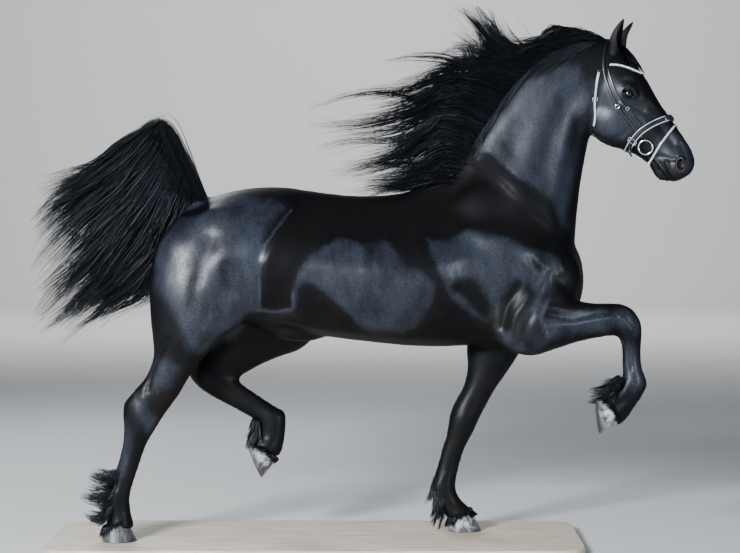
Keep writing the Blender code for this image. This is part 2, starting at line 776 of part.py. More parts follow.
def lid_ring(side):
    """Almond-shaped rim of the lids round one eye."""
    middle = Vector((EYE_AT[0], EYE_AT[1], EYE_AT[2] + 0.016))
    points = []
    count = 16
    for i in range(count):
        turn = 2 * math.pi * i / count
        a = 0.0235 * math.cos(turn)
        b = 0.0130 * math.sin(turn) * (1.15 if math.sin(turn) < 0 else 0.9)
        tilt = math.radians(-24)
        u = a * math.cos(tilt) - b * math.sin(tilt)
        v = a * math.sin(tilt) + b * math.cos(tilt)
        dip = 0.0 - 16.0 * (u * u) * 0.4
        points.append((middle[0] + u, middle[1] + v, side * (middle[2] + dip)))
    return loop_tube("lids", [head_point(*p) for p in points], 0.0055, 6)


def loop_tube(name, path, radius, sides):
    """Round tube along a closed path."""
    count = len(path)
    centre = sum(path, Vector()) / count
    points = []
    for i, spot in enumerate(path):
        ahead = (path[(i + 1) % count] - path[i - 1]).normalized()
        out = spot - centre
        out = (out - ahead * out.dot(ahead)).normalized()
        up = ahead.cross(out)
        for j in range(sides):
            turn = 2 * math.pi * j / sides
            points.append(spot + (out * math.cos(turn) + up * math.sin(turn)) * radius)
    faces = []
    for i in range(count):
        n = (i + 1) % count
        for j in range(sides):
            k = (j + 1) % sides
            faces.append((i * sides + j, i * sides + k, n * sides + k, n * sides + j))
    return solid(name, points, faces)


def nostril_point(side, turn, grow):
    """Point of the oval rim of a nostril, its long way slanting along the muzzle."""
    a = 0.0285 * grow * math.cos(turn)
    b = 0.0205 * grow * math.sin(turn)
    tilt = math.radians(28)
    u = a * math.cos(tilt) - b * math.sin(tilt)
    v = a * math.sin(tilt) + b * math.cos(tilt)
    return head_point(0.640 + u, -0.006 + v, side * (0.0505 - u * 0.22 - v * 0.10))


def nostril_ring(side):
    points = [nostril_point(side, 2 * math.pi * i / 14, 1.0) for i in range(14)]
    return loop_tube("rim", points, 0.0068, 6)


def head_prism(name, outline, low, high):
    """Closed block over an outline given along and across the head."""
    points = [head_point(u, low(u), w) for u, w in outline]
    points += [head_point(u, high(u), w) for u, w in outline]
    count = len(outline)
    faces = [tuple(range(count)), tuple(range(count, 2 * count))]
    faces += [(i, (i + 1) % count, (i + 1) % count + count, i + count) for i in range(count)]
    return solid(name, points, faces)


def mouth_line(along):
    """Height of the line between the lips, measured towards the jaw."""
    return 0.102 - 0.13 * (along - 0.515)


def mouth_cutter():
    """Thin curved blade that opens the line of the mouth all round the lips."""
    steps = [0.515 + 0.215 * i / 8 for i in range(9)]
    points = []
    for along in steps:
        for lift in (-0.0012, 0.0012):
            for side in (-0.09, 0.09):
                points.append(head_point(along, mouth_line(along) + lift, side))
    faces = [(0, 1, 3, 2), (32, 33, 35, 34)]
    for i in range(8):
        k = 4 * i
        faces += [(k, k + 1, k + 5, k + 4), (k + 2, k + 3, k + 7, k + 6)]
        faces += [(k, k + 2, k + 6, k + 4), (k + 1, k + 3, k + 7, k + 5)]
    blade = solid("mouth", points, faces)
    half = ((0.50, 0.040), (0.56, 0.038), (0.62, 0.037), (0.66, 0.028), (0.683, 0.010))
    outline = list(half) + [(u, -w) for u, w in reversed(half)]
    core = head_prism("core", outline, lambda u: 0.0, lambda u: 0.15)
    boolean(blade, core, "DIFFERENCE")
    return blade


def detailed_head():
    head = bare_head()
    for side in (-1, 1):
        boolean(head, lid_ring(side), "UNION")
        boolean(head, nostril_ring(side), "UNION")
    for side in (-1, 1):
        u, v, w = EYE_AT
        socket = ball("socket", head_point(u, v, side * w), [EYE_RADIUS + GAP] * 3, None, 2)
        boolean(head, socket, "DIFFERENCE")
        hole = head_ball(0.640, -0.006, side * 0.050, (0.0235, 0.0165, 0.022), 2)
        boolean(head, hole, "DIFFERENCE")
    boolean(head, mouth_cutter(), "DIFFERENCE")
    keep_largest(head)
    return head


# bridle straps: along the face, towards the jaw and out, from right to left
NOSEBAND = (
    (0.436, -0.070, 0.0), (0.432, -0.050, -0.035), (0.425, 0.0, -0.060),
    (0.428, 0.070, -0.070), (0.445, 0.130, -0.055), (0.462, 0.170, -0.025),
    (0.465, 0.185, 0.0), (0.462, 0.170, 0.025), (0.445, 0.130, 0.055),
    (0.428, 0.070, 0.070), (0.425, 0.0, 0.060), (0.432, -0.050, 0.035),
)
FLASH = (
    (0.474, -0.068, 0.0), (0.485, -0.045, -0.032), (0.515, 0.020, -0.052),
    (0.548, 0.086, -0.050), (0.562, 0.118, -0.030), (0.566, 0.128, 0.0),
    (0.562, 0.118, 0.030), (0.548, 0.086, 0.050), (0.515, 0.020, 0.052),
    (0.485, -0.045, 0.032),
)
CHEEKPIECE = (
    (0.462, 0.084, 0.075), (0.400, 0.094, 0.085), (0.318, 0.102, 0.100),
    (0.220, 0.100, 0.105), (0.130, 0.080, 0.095), (0.060, 0.045, 0.085),
    (0.012, 0.010, 0.060),
)
HEADPIECE_TOP = (-0.010, -0.012, 0.0)
HANGER = (
    (0.402, 0.055, 0.080), (0.330, 0.068, 0.092), (0.250, 0.078, 0.105),
    (0.160, 0.066, 0.100), (0.120, 0.052, 0.095),
)
BROWBAND = (
    (0.108, 0.040, 0.095), (0.122, 0.012, 0.088), (0.158, -0.025, 0.068),
    (0.195, -0.046, 0.035),
)
BROWBAND_TOP = (0.205, -0.053, 0.0)
THROATLATCH = (
    (0.098, 0.085, 0.095), (0.155, 0.132, 0.105), (0.220, 0.178, 0.100),
    (0.280, 0.218, 0.085), (0.318, 0.255, 0.050),
)
THROATLATCH_LOW = (0.332, 0.280, 0.0)
STRAP_OFF = 0.0009
STRAP_CLEAR = 0.0013
STRAP_FLAT = 5.0
BIT_RING_RADIUS = 0.031
BIT_RING_TUBE = 0.0042
BIT_AT = (0.499, 0.090, 0.064)


def mirrored(half, middle):
    """Right half of a strap, its middle point and the left half."""
    right = [(u, v, -w) for u, v, w in half]
    return right + [middle] + [(u, v, w) for u, v, w in reversed(half)]


def strap(name, tree, path, width, thick, closed=False, steps=3, crown=0.0):
    """Flat strap lying on the surface below a path of rough points."""
    rows = [tuple(p) for p in path]
    if closed:
        rows = [rows[-1]] + rows + rows[:2]
    fine = smooth_rows(rows, steps)
    if closed:
        fine = fine[steps:-steps - 1]
    spots = [tree.find_nearest(head_point(*p)) for p in fine]
    count = len(spots)
    last = count if closed else count - 1
    points = []
    for i in range(count):
        before = (i - 1) % count if closed else max(i - 1, 0)
        after = (i + 1) % count if closed else min(i + 1, count - 1)
        normal = (spots[before][1] + spots[i][1] * 2 + spots[after][1]).normalized()
        ahead = (spots[after][0] - spots[before][0]).normalized()
        side = ahead.cross(normal).normalized()
        edges = []
        for share in (-0.5, 0.5):
            edges.append(tree.find_nearest(spots[i][0] + side * width * share)[0])
        middle = spots[i][0]
        points += [edges[0] + normal * STRAP_OFF, edges[1] + normal * STRAP_OFF]
        points += [edges[1] + normal * thick, middle + normal * (thick + crown)]
        points += [edges[0] + normal * thick]
    faces = []
    for i in range(last):
        a = i * 5
        b = ((i + 1) % count) * 5
        faces += [(a + j, a + (j + 1) % 5, b + (j + 1) % 5, b + j) for j in range(5)]
    if not closed:
        faces += [tuple(range(5)), tuple(range(count * 5 - 5, count * 5))]
    return solid(name, points, faces)


def bit_ring(name, side):
    u, v, w = BIT_AT
    middle = head_point(u, v, side * w)
    frame = head_frame()
    turn = Matrix.Rotation(math.radians(side * 9), 3, "Y")
    points = []
    for i in range(16):
        angle = 2 * math.pi * i / 16
        flat = Vector((math.cos(angle), math.sin(angle), 0)) * BIT_RING_RADIUS
        points.append(middle + frame @ (turn @ flat))
    return loop_tube(name, points, BIT_RING_TUBE, 6)


def bridle(nodes):
    """Straps and bit rings, each clear of the head and of the ones below it."""
    skin = [nodes["head"], nodes["neck"]]
    out = {}
    for name, side in (("bit_right", -1), ("bit_left", 1)):
        out[name] = bit_ring(name, side)
        stand_clear(out[name], nodes["head"])
    tree = mesh_tree(skin)
    out["noseband"] = strap("noseband", tree, NOSEBAND, 0.036, 0.006, True, 2, 0.003)
    out["flash_strap"] = strap("flash_strap", tree, FLASH, 0.018, 0.0035, True, 2, 0.001)
    high = mesh_tree(skin + [out["noseband"]])
    path = mirrored(CHEEKPIECE, HEADPIECE_TOP)
    out["headpiece"] = strap("headpiece", high, path, 0.020, 0.0046, False, 2, 0.001)
    top = mirrored(BROWBAND, BROWBAND_TOP)
    out["browband"] = strap("browband", tree, top, 0.018, 0.006, False, 2, 0.003)
    low = mirrored(THROATLATCH, THROATLATCH_LOW)
    front = mesh_tree([nodes["head"]])
    out["throatlatch"] = strap("throatlatch", front, low, 0.018, 0.0046, False, 2, 0.001)
    for name, side in (("hanger_right", -1), ("hanger_left", 1)):
        line = [(u, v, side * w) for u, v, w in HANGER]
        out[name] = strap(name, tree, line, 0.015, 0.004, False, 2, 0.001)
    order = ["noseband", "flash_strap", "headpiece", "browband", "throatlatch"]
    order += ["hanger_right", "hanger_left"]
    lower = ["head", "neck", "bit_right", "bit_left", "ear_right", "ear_left"]
    nodes.update(out)
    for name in order:
        for other in lower:
            stand_clear(nodes[name], nodes[other], STRAP_CLEAR)
        lower.append(name)
    for name in order:
        flatten(nodes[name], STRAP_FLAT)


def eyes():
    out = []
    for name, side in (("eye_right", -1), ("eye_left", 1)):
        u, v, w = EYE_AT
        out.append(ball(name, head_point(u, v, side * w), [EYE_RADIUS] * 3, None, 2))
    return out


def stand():
    """Flat plate under the two planted feet and the weight between them."""
    length = PLATE_TO_X - PLATE_FROM_X
    middle = (PLATE_FROM_X + PLATE_TO_X) / 2
    shape = bmesh.new()
    bmesh.ops.create_cube(shape, size=1.0)
    scale = Matrix.Diagonal((length, PLATE_HALF_WIDTH * 2, PLATE_THICK, 1.0))
    place = Matrix.Translation((middle, 0, -PLATE_THICK / 2))
    bmesh.ops.transform(shape, matrix=place @ scale, verts=shape.verts)
    rims = [e for e in shape.edges if abs(e.verts[0].co.z - e.verts[1].co.z) > 0.01]
    bmesh.ops.bevel(shape, geom=rims, offset=0.12, segments=8, profile=0.5, affect="EDGES")
    mesh = bpy.data.meshes.new("stand_base")
    shape.to_mesh(mesh)
    shape.free()
    return link("stand_base", mesh)


# locks: length share kept of the full reach, width and thickness of each size
LOCK_SIZES = (
    (1.00, 1.00, 1.00),
    (0.96, 0.80, 0.85),
    (0.90, 1.15, 1.10),
    (0.80, 0.70, 0.80),
)
LOCK_TAPER = (0.55, 0.95, 1.0, 0.72, 0.34)

# mane, poll to withers: share of the crest, tip x z, degrees the hair rises as it
# leaves and at its tip, lock width
MANE_FLOW = (
    (0.00, 0.800, 2.225, 22, -12, 0.050),
    (0.10, 0.660, 2.195, 18, -4, 0.055),
    (0.20, 0.560, 2.210, 12, 25, 0.060),
    (0.29, 0.495, 2.384, 2, 62, 0.060),
    (0.37, 0.420, 2.320, 0, 52, 0.060),
    (0.44, 0.300, 2.190, 12, 20, 0.065),
    (0.51, 0.080, 2.060, 26, -12, 0.060),
    (0.59, -0.080, 1.985, 26, -8, 0.055),
    (0.67, -0.155, 1.890, 22, -6, 0.055),
    (0.75, -0.150, 1.780, 16, -8, 0.060),
    (0.83, -0.140, 1.670, 6, -10, 0.065),
    (0.90, -0.090, 1.590, -8, -4, 0.065),
    (0.97, 0.050, 1.560, -20, 0, 0.050),
)
MANE_LOCKS = 24
MANE_SPREAD = 0.115
MANE_WIDER = 1.25
MANE_THICK = 0.020

# tail, underside of the dock to its end: the same five numbers
TAIL_FLOW = (
    (0.22, -0.975, 1.050, -62, -52, 0.060),
    (0.32, -1.140, 0.965, -52, -46, 0.070),
    (0.42, -1.370, 0.880, -46, -38, 0.080),
    (0.52, -1.515, 0.850, -42, -34, 0.085),
    (0.62, -1.530, 1.010, -38, -28, 0.090),
    (0.72, -1.525, 1.200, -34, -22, 0.090),
    (0.82, -1.510, 1.385, -30, -12, 0.085),
    (0.91, -1.475, 1.490, -26, -4, 0.075),
    (0.97, -1.410, 1.565, -20, 2, 0.065),
)
TAIL_LOCKS = 24
TAIL_WIDER = 1.28
TAIL_SPREAD = 0.150
TAIL_THICK = 0.026
TAIL_CORE = (
    (-0.800, 1.58, -0.875, 1.760, 0.0, 0.030),
    (-0.870, 1.40, -0.985, 1.650, 0.0, 0.060),
    (-0.960, 1.28, -1.110, 1.520, 0.0, 0.050),
    (-1.040, 1.24, -1.160, 1.420, 0.0, 0.018),
)
MANE_CORE_REACH = 0.30

# feathers: node, top and bottom of the rooted stretch, blow direction x z,
# reach, count, half width of the leg there
FEATHERS = (
    ("hind_right_lower", (-1.062, -0.143, 0.270), (-1.085, -0.140, 0.085),
     (-0.93, -0.36), 0.150, 8, 0.034),
    ("hind_left_lower", (-0.475, 0.141, 0.520), (-0.445, 0.140, 0.415),
     (-0.72, -0.55), 0.105, 7, 0.033),
    ("fore_left_lower", (0.345, 0.131, 0.290), (0.372, 0.130, 0.085),
     (-0.50, -0.85), 0.105, 8, 0.034),
    ("fore_right_lower", (1.140, -0.170, 0.775), (1.100, -0.170, 0.665),
     (-0.95, -0.28), 0.135, 7, 0.034),
)
FEATHER_WIDTH = 0.042
FEATHER_THICK = 0.013
FEATHER_LOWEST = 0.028
FORELOCK_LOCKS = 5


def curve_points(start, first, second, end, count):
    """Points of a cubic curve from start to end, pulled by two others."""
    out = []
    for i in range(count):
        t = i / (count - 1)
        s = 1.0 - t
        out.append(start * s ** 3 + first * 3 * s * s * t + second * 3 * s * t * t + end * t ** 3)
    return out


def lock(path, width, thick, face):
    """Flat tapered lock of hair along a path, its flat side towards face."""
    rings = len(path) - 1
    points = []
    for i in range(rings):
        before = path[max(i - 1, 0)]
        ahead = (path[i + 1] - before).normalized()
        side = ahead.cross(face).normalized()
        normal = side.cross(ahead).normalized()
        share = LOCK_TAPER[min(i, len(LOCK_TAPER) - 1)]
        across = side * (width / 2 * share)
        deep = normal * (thick / 2 * share)
        points += [path[i] + across, path[i] + deep, path[i] - across, path[i] - deep]
    points.append(path[-1])
    faces = [(0, 1, 2, 3)]
    for i in range(rings - 1):
        a = i * 4
        faces += [(a + j, a + (j + 1) % 4, a + 4 + (j + 1) % 4, a + 4 + j) for j in range(4)]
    a = (rings - 1) * 4
    faces += [(a + j, a + (j + 1) % 4, len(points) - 1) for j in range(4)]
    return solid("lock", points, faces)


def flow_at(table, share):
    """Row of a flow table read off at a share of its length."""
    rows = np.array(table)
    spot = share * (len(rows) - 1)
    return [float(np.interp(spot, range(len(rows)), rows[:, k])) for k in range(rows.shape[1])]


def line_at(rows, share):
    """Point of a line of growth at a share of its length."""
    spot = share * (len(rows) - 1)
    i = min(int(spot), len(rows) - 2)
    return rows[i] * (i + 1 - spot) + rows[i + 1] * (spot - i)


def heading(degrees):
    """Direction towards the tail that rises by some degrees."""
    turn = math.radians(degrees)
    return Vector((-math.cos(turn), 0.0, math.sin(turn)))


def spread_lock(rng, spot, row, spread, thick):
    """One lock from a line of growth, with its own size, side and twist."""
    along, tip_x, tip_z, leave, arrive, row_width = row
    keep, wide, fat = rng.choice(LOCK_SIZES)
    side = rng.uniform(-1.0, 1.0)
    root = Vector((spot[0], side * spread * 0.22, spot[1]))
    end = Vector((tip_x, side * spread + rng.uniform(-0.02, 0.02), tip_z))
    end = root + (end - root) * keep
    reach = (end - root).length
    out_dir = heading(leave + rng.uniform(-10, 10))
    tip_dir = heading(arrive + rng.uniform(-12, 12))
    start = root - out_dir * 0.025
    first = root + out_dir * reach * 0.36 + Vector((0, side * spread * 0.4, 0))
    second = end - tip_dir * reach * 0.34 + Vector((0, rng.uniform(-0.03, 0.03), 0))
    face = Vector((rng.uniform(-0.3, 0.3), 1.0, rng.uniform(-0.45, 0.45)))
    path = curve_points(start, first, second, end, 6)
    return lock(path, row_width * wide, thick * fat, face)


def hair_group(name, items):
    """Collection holding the closed solids that one union will take in."""
    group = bpy.data.collections.new(name)
    for item in items:
        group.objects.link(item)
    return group


def take_in(node, items):
    """Join closed solids onto a node by one union, then drop them."""
    group = hair_group("hair", items)
    union = node.modifiers.new("hair", "BOOLEAN")
    union.operation = "UNION"
    union.operand_type = "COLLECTION"
    union.collection = group
    union.solver = "MANIFOLD"
    apply_all(node)
    for item in items:
        bpy.data.objects.remove(item, do_unlink=True)
    bpy.data.collections.remove(group)
    keep_largest(node)


def mane_locks():
    rng = random.Random(11)
    crest = smooth_rows([(row[0], row[1]) for row in reversed(NECK)], 4)
    out = []
    for i in range(MANE_LOCKS):
        row = flow_at(MANE_FLOW, (i + rng.uniform(0.1, 0.9)) / MANE_LOCKS)
        row[1] += rng.uniform(-0.05, 0.05)
        row[2] += rng.uniform(-0.035, 0.035)
        row[5] *= MANE_WIDER
        spot = line_at(crest, row[0] * 0.9 + 0.02)
        out.append(spread_lock(rng, spot, row, MANE_SPREAD, MANE_THICK))
    return out


def mane_core():
    """Dense hair along the crest, well short of the locks' tips."""
    rows = []
    crest = smooth_rows([(row[0], row[1]) for row in reversed(NECK)], 1)
    for i, (x, z) in enumerate(crest[:-1]):
        row = flow_at(MANE_FLOW, i / (len(crest) - 1))
        reach = MANE_CORE_REACH * (0.3 + 0.7 * math.sin(math.pi * i / (len(crest) - 1)))
        out_x = x + (row[1] - x) * reach
        out_z = z + (row[2] - z) * reach
        rows.append((x + 0.03, z - 0.04, out_x, out_z, 0.0, 0.022))
    return coarse_tube("core", rows)


def coarse_tube(name, sections, sides=8, steps=1):
    """Plain oval tube through sections given as two edge points, y and half width."""
    rows = smooth_rows(sections, steps)
    points = []
    for x0, z0, x1, z1, y, half in rows:
        for i in range(sides):
            turn = 2 * math.pi * i / sides
            f = 0.5 - 0.5 * math.cos(turn)
            points.append((x0 + (x1 - x0) * f, y + half * math.sin(turn), z0 + (z1 - z0) * f))
    faces = [tuple(range(sides)), tuple(range(len(points) - sides, len(points)))]
    for r in range(len(rows) - 1):
        for j in range(sides):
            k = (j + 1) % sides
            faces.append((r * sides + j, r * sides + k, (r + 1) * sides + k, (r + 1) * sides + j))
    return solid(name, points, faces)


def tail_locks():
    rng = random.Random(23)
    dock = smooth_rows([((r[0] + r[2]) / 2, (r[1] + r[3]) / 2) for r in DOCK], 4)
    out = []
    for i in range(TAIL_LOCKS):
        row = flow_at(TAIL_FLOW, (i + rng.uniform(0.1, 0.9)) / TAIL_LOCKS)
        row[1] += rng.uniform(0.007, 0.097)
        row[2] += rng.uniform(-0.03, 0.03)
        row[5] *= TAIL_WIDER
        spot = line_at(dock, row[0])
        out.append(spread_lock(rng, spot, row, TAIL_SPREAD, TAIL_THICK))
    return out


def feather_locks(top, bottom, blow, reach, count, half):
    """Locks behind one fetlock, in two rows that overlap like tiles."""
    rng = random.Random(int(abs(top[0]) * 1000))
    out = []
    for i in range(count):
        t = (i + rng.uniform(0.2, 0.8)) / count
        keep, wide, fat = rng.choice(LOCK_SIZES)
        side = (i % 3 - 1) * 0.8 + rng.uniform(-0.2, 0.2)
        spot = Vector(top) * (1 - t) + Vector(bottom) * t
        root = spot + Vector((0, side * half * 0.75, 0))
        out_dir = Vector((blow[0], side * 0.35, blow[1])).normalized()
        start = root - out_dir * 0.030
        end = root + out_dir * reach * keep + Vector((0, 0, -0.030 * rng.uniform(0.2, 1.0)))
        end.z = max(end.z, FEATHER_LOWEST)
        first = root + out_dir * reach * 0.35 + Vector((0, side * 0.01, 0.006))
        second = end - out_dir * reach * 0.30 + Vector((0, side * 0.012, 0.014))
        face = Vector((0.1, 1.0 if side > 0 else -1.0, 0.55))
        path = curve_points(start, first, second, end, 5)
        out.append(lock(path, FEATHER_WIDTH * wide, FEATHER_THICK * fat, face))
    return out


def forelock_locks():
    """Locks from between the ears down the forehead, under the browband."""
    rng = random.Random(5)
    out = []
    for i in range(FORELOCK_LOCKS):
        side = (i - (FORELOCK_LOCKS - 1) / 2) / FORELOCK_LOCKS
        root = head_point(0.055, -0.018, side * 0.030)
        first = head_point(0.078, -0.060 - 0.006 * (i % 2), side * 0.045)
        second = head_point(0.130, -0.075, side * 0.075)
        end = head_point(0.178 + rng.uniform(-0.01, 0.006), -0.066, side * 0.10)
        face = head_frame() @ Vector((0.3, -1.0, side * 1.2))
        path = curve_points(root, first, second, end, 6)
        out.append(lock(path, 0.026, 0.011, face))
    return out


# materials: colour, roughness and metal share of each kind of node
LOOKS = {
    "coat": ((0.012, 0.012, 0.015), 0.45, 0.0),
    "hair": ((0.010, 0.010, 0.013), 0.50, 0.0),
    "eye": ((0.020, 0.012, 0.008), 0.08, 0.0),
    "horn": ((0.33, 0.32, 0.31), 0.35, 0.0),
    "leather": ((0.015, 0.014, 0.014), 0.35, 0.0),
    "beads": ((0.75, 0.75, 0.78), 0.20, 0.0),
    "steel": ((0.62, 0.63, 0.65), 0.22, 1.0),
    "plate": ((0.62, 0.55, 0.43), 0.70, 0.0),
}


def look_of(name):
    """Kind of surface a node has, from its name."""
    starts = (("eye", "eye"), ("hoof", "horn"), ("stand", "plate"), ("bit", "steel"))
    for start, kind in starts:
        if name.startswith(start):
            return kind
    if name == "browband":
        return "beads"
    if name in ("noseband", "flash_strap", "headpiece", "throatlatch"):
        return "leather"
    if name.startswith("hanger"):
        return "leather"
    return "hair" if name == "tail" else "coat"


def finish(name, item):
    """Name a node, give it its own material and smooth its rounded faces."""
    item.name = name
    item.data.name = name
    item.data.transform(Matrix.Translation((FORWARD, 0, PLATE_THICK)))
    colour, rough, metal = LOOKS[look_of(name)]
    material = bpy.data.materials.new(name)
    material.use_nodes = True
    shader = material.node_tree.nodes["Principled BSDF"]
    shader.inputs["Base Color"].default_value = (*colour, 1.0)
    shader.inputs["Roughness"].default_value = rough
    shader.inputs["Metallic"].default_value = metal
    item.data.materials.clear()
    item.data.materials.append(material)
    item.data.shade_smooth()
    item.data.set_sharp_from_angle(angle=math.radians(40))


def main():
    clear_scene()
    nodes = parted_body()
    nodes["head"] = detailed_head()
    take_in(nodes["head"], forelock_locks())
    for name, side, axis, twist in EARS:
        nodes[name] = ear(name, side, axis, twist)
        stand_clear(nodes[name], nodes["head"], GAP * 3)
    for item in eyes():
        nodes[item.name] = item
    for name, x, z, y, pitch in HOOVES:
        nodes["hoof_" + name] = hoof("hoof_" + name, hoof_place(x, z, y, pitch))
    nodes["tail"] = coarse_tube("tail", DOCK, 12, 2)
    take_in(nodes["tail"], [coarse_tube("core", TAIL_CORE, 8, 2)] + tail_locks())
    stand_clear(nodes["tail"], nodes["torso"])
    take_in(nodes["neck"], [mane_core()] + mane_locks())
    stand_clear(nodes["neck"], nodes["torso"], GAP)
    stand_clear(nodes["neck"], nodes["head"], GAP)
    for name, top, bottom, blow, reach, count, half in FEATHERS:
        take_in(nodes[name], feather_locks(top, bottom, blow, reach, count, half))
        stand_clear(nodes[name], nodes["hoof_" + name.replace("_lower", "")], GAP)
    bridle(nodes)
    nodes["stand_base"] = stand()
    for name, item in nodes.items():
        finish(name, item)


main()
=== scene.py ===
import json
import math

import bmesh
import bpy
import numpy as np
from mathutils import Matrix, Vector
from mathutils.bvhtree import BVHTree

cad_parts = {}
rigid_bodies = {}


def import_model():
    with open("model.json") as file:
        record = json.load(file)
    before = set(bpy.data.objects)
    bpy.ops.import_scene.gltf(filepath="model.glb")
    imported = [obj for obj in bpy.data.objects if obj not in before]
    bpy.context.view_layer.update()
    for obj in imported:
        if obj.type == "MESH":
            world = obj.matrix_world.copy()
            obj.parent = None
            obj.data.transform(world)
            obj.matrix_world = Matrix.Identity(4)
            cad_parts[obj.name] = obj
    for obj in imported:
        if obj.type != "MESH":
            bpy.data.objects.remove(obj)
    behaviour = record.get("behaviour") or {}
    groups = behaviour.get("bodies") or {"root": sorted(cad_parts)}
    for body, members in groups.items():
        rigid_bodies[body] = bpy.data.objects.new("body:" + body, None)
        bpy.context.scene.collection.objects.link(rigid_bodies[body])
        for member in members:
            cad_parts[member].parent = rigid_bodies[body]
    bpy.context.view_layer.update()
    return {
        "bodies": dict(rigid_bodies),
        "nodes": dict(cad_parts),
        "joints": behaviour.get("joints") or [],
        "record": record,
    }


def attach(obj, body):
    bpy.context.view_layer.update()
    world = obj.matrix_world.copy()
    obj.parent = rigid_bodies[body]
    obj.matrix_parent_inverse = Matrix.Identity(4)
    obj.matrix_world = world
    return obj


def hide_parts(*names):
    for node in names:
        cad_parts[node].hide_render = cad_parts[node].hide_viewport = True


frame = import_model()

# the whole model in numbers; heights in the tables are above the plate's top face
model = {
    "forward": 0.012,        # moves the tables along X so the length is centred
    "plateThick": 0.03,
    "headPivot": (1.1, -0.01, 2.19),
    "headYaw": -20.0,        # degrees, towards the near side
    "headSlope": 60.0,       # degrees of the face below level
    "skinVoxel": 0.012,
    "skinRounds": 8,
}
lift = np.array([model["forward"], 0.0, model["plateThick"]])
# side view in plan units: units in a metre at the middle plane, one spot in units and in
# metres x z, distance of the eye
plan = {"scale": 226.0, "unit": (370.0, 189.0), "metre": (0.0376, 1.531), "eye": 9.0}


# ---- shader wiring
class Wire:
    # a socket that can be added, multiplied and so on, each adding a Math node
    def __init__(self, finish, socket):
        self.finish = finish
        self.socket = socket

    def calc(self, operation, first, second):
        return self.finish.node("ShaderNodeMath", {"operation": operation}, {0: first, 1: second})

    def __add__(self, other):
        return self.calc("ADD", self, other)

    def __radd__(self, other):
        return self.calc("ADD", other, self)

    def __sub__(self, other):
        return self.calc("SUBTRACT", self, other)

    def __rsub__(self, other):
        return self.calc("SUBTRACT", other, self)

    def __mul__(self, other):
        return self.calc("MULTIPLY", self, other)

    def __rmul__(self, other):
        return self.calc("MULTIPLY", other, self)

    def between(self, low, high):
        # 0 below low, 1 above high, eased in between
        return self.finish.node("ShaderNodeMapRange", {"interpolation_type": "SMOOTHSTEP"},
                                {"Value": self, "From Min": low, "From Max": high})


class Finish:
    # one material: a Principled shader and a short way to add any other node
    def __init__(self, name, fixed):
        self.material = bpy.data.materials.new(name)
        self.material.use_nodes = True
        self.tree = self.material.node_tree
        self.shader = self.tree.nodes["Principled BSDF"]
        for socketName, value in fixed.items():
            self.shader.inputs[socketName].default_value = value

    def node(self, kind, settings, values, output=0):
        made = self.tree.nodes.new(kind)
        for key, value in settings.items():
            setattr(made, key, value)
        for key, value in values.items():
            if isinstance(value, Wire):
                self.tree.links.new(value.socket, made.inputs[key])
            else:
                made.inputs[key].default_value = value
        return Wire(self, made.outputs[output])

    def place(self, scale=(1, 1, 1), turn=(0, 0, 0)):
        # Object coordinates, stretched or turned
        spot = self.node("ShaderNodeTexCoord", {}, {}, 3)
        return self.node("ShaderNodeMapping", {}, {"Vector": spot, "Scale": scale, "Rotation": turn})

    def noise(self, spot, scale, detail=2.0, rough=0.5):
        return self.node("ShaderNodeTexNoise", {}, {"Vector": spot, "Scale": scale,
                         "Detail": detail, "Roughness": rough})

    def held(self, name):
        # a value kept on the mesh's points
        return self.node("ShaderNodeAttribute", {"attribute_name": name}, {}, 2)

    def tint(self, mask, dark, light):
        # colour between two, by a mask
        dark, light = (c if isinstance(c, Wire) else (*c, 1.0) for c in (dark, light))
        return self.node("ShaderNodeMix", {"data_type": "RGBA"}, {0: mask, 6: dark, 7: light}, 2)

    def bump(self, height, strength, distance):
        return self.node("ShaderNodeBump", {}, {"Height": height, "Strength": strength,
                         "Distance": distance})

    def feed(self, **wires):
        for socketName, wire in wires.items():
            self.tree.links.new(wire.socket, self.shader.inputs[socketName.replace("_", " ")])
        return self.material


# ---- curves and surfaces as arrays
def metres(values):
    # from a table in millimetres
    return np.array(values) / 1000


def unit(vectors):
    return vectors / np.maximum(np.linalg.norm(vectors, axis=-1, keepdims=True), 1e-9)


def ease(x, low, high):
    t = np.clip((x - low) / (high - low), 0, 1)
    return t * t * (3 - 2 * t)


def within(x, low, lowEnd, high, highEnd):
    # rises from 0 at low to 1 at lowEnd and falls again from high to highEnd
    return ease(x, low, lowEnd) * (1 - ease(x, high, highEnd))


def bell(x, wide):
    return np.exp(-(x / wide) ** 2)


def around(count):
    return np.linspace(0, 2 * math.pi, count, endpoint=False)


def turned(a, b, degrees):
    turn = math.radians(degrees)
    return a * math.cos(turn) - b * math.sin(turn), a * math.sin(turn) + b * math.cos(turn)


def pitched(degrees):
    # axes turned about y, so that x dips
    c, s = math.cos(math.radians(degrees)), math.sin(math.radians(degrees))
    return np.array([[c, 0, s], [0, 1, 0], [-s, 0, c]])


def fromPlan(spots, nearer=0.0):
    # plan units to metres x z, on a surface that much nearer than the middle plane
    scale = plan["scale"] * plan["eye"] / (plan["eye"] - nearer)
    off = (np.reshape(spots, (-1, 2)) - plan["unit"]) / scale
    return plan["metre"] + off * [1, -1]


def cubic(before, start, end, after, t):
    # from start to end; the slope at each is half the way between its two neighbours
    bend = 2 * before - 5 * start + 4 * end - after
    curl = 3 * start - before - 3 * end + after
    return start + 0.5 * ((end - before) * t + bend * t ** 2 + curl * t ** 3)


def bezier(start, first, second, end, count):
    # cubic from start to end, pulled by two others; arrays of many at once
    t = np.linspace(0, 1, count)[None, :, None]
    s = 1 - t
    return (start[:, None] * s ** 3 + first[:, None] * 3 * s * s * t
            + second[:, None] * 3 * s * t * t + end[:, None] * t ** 3)


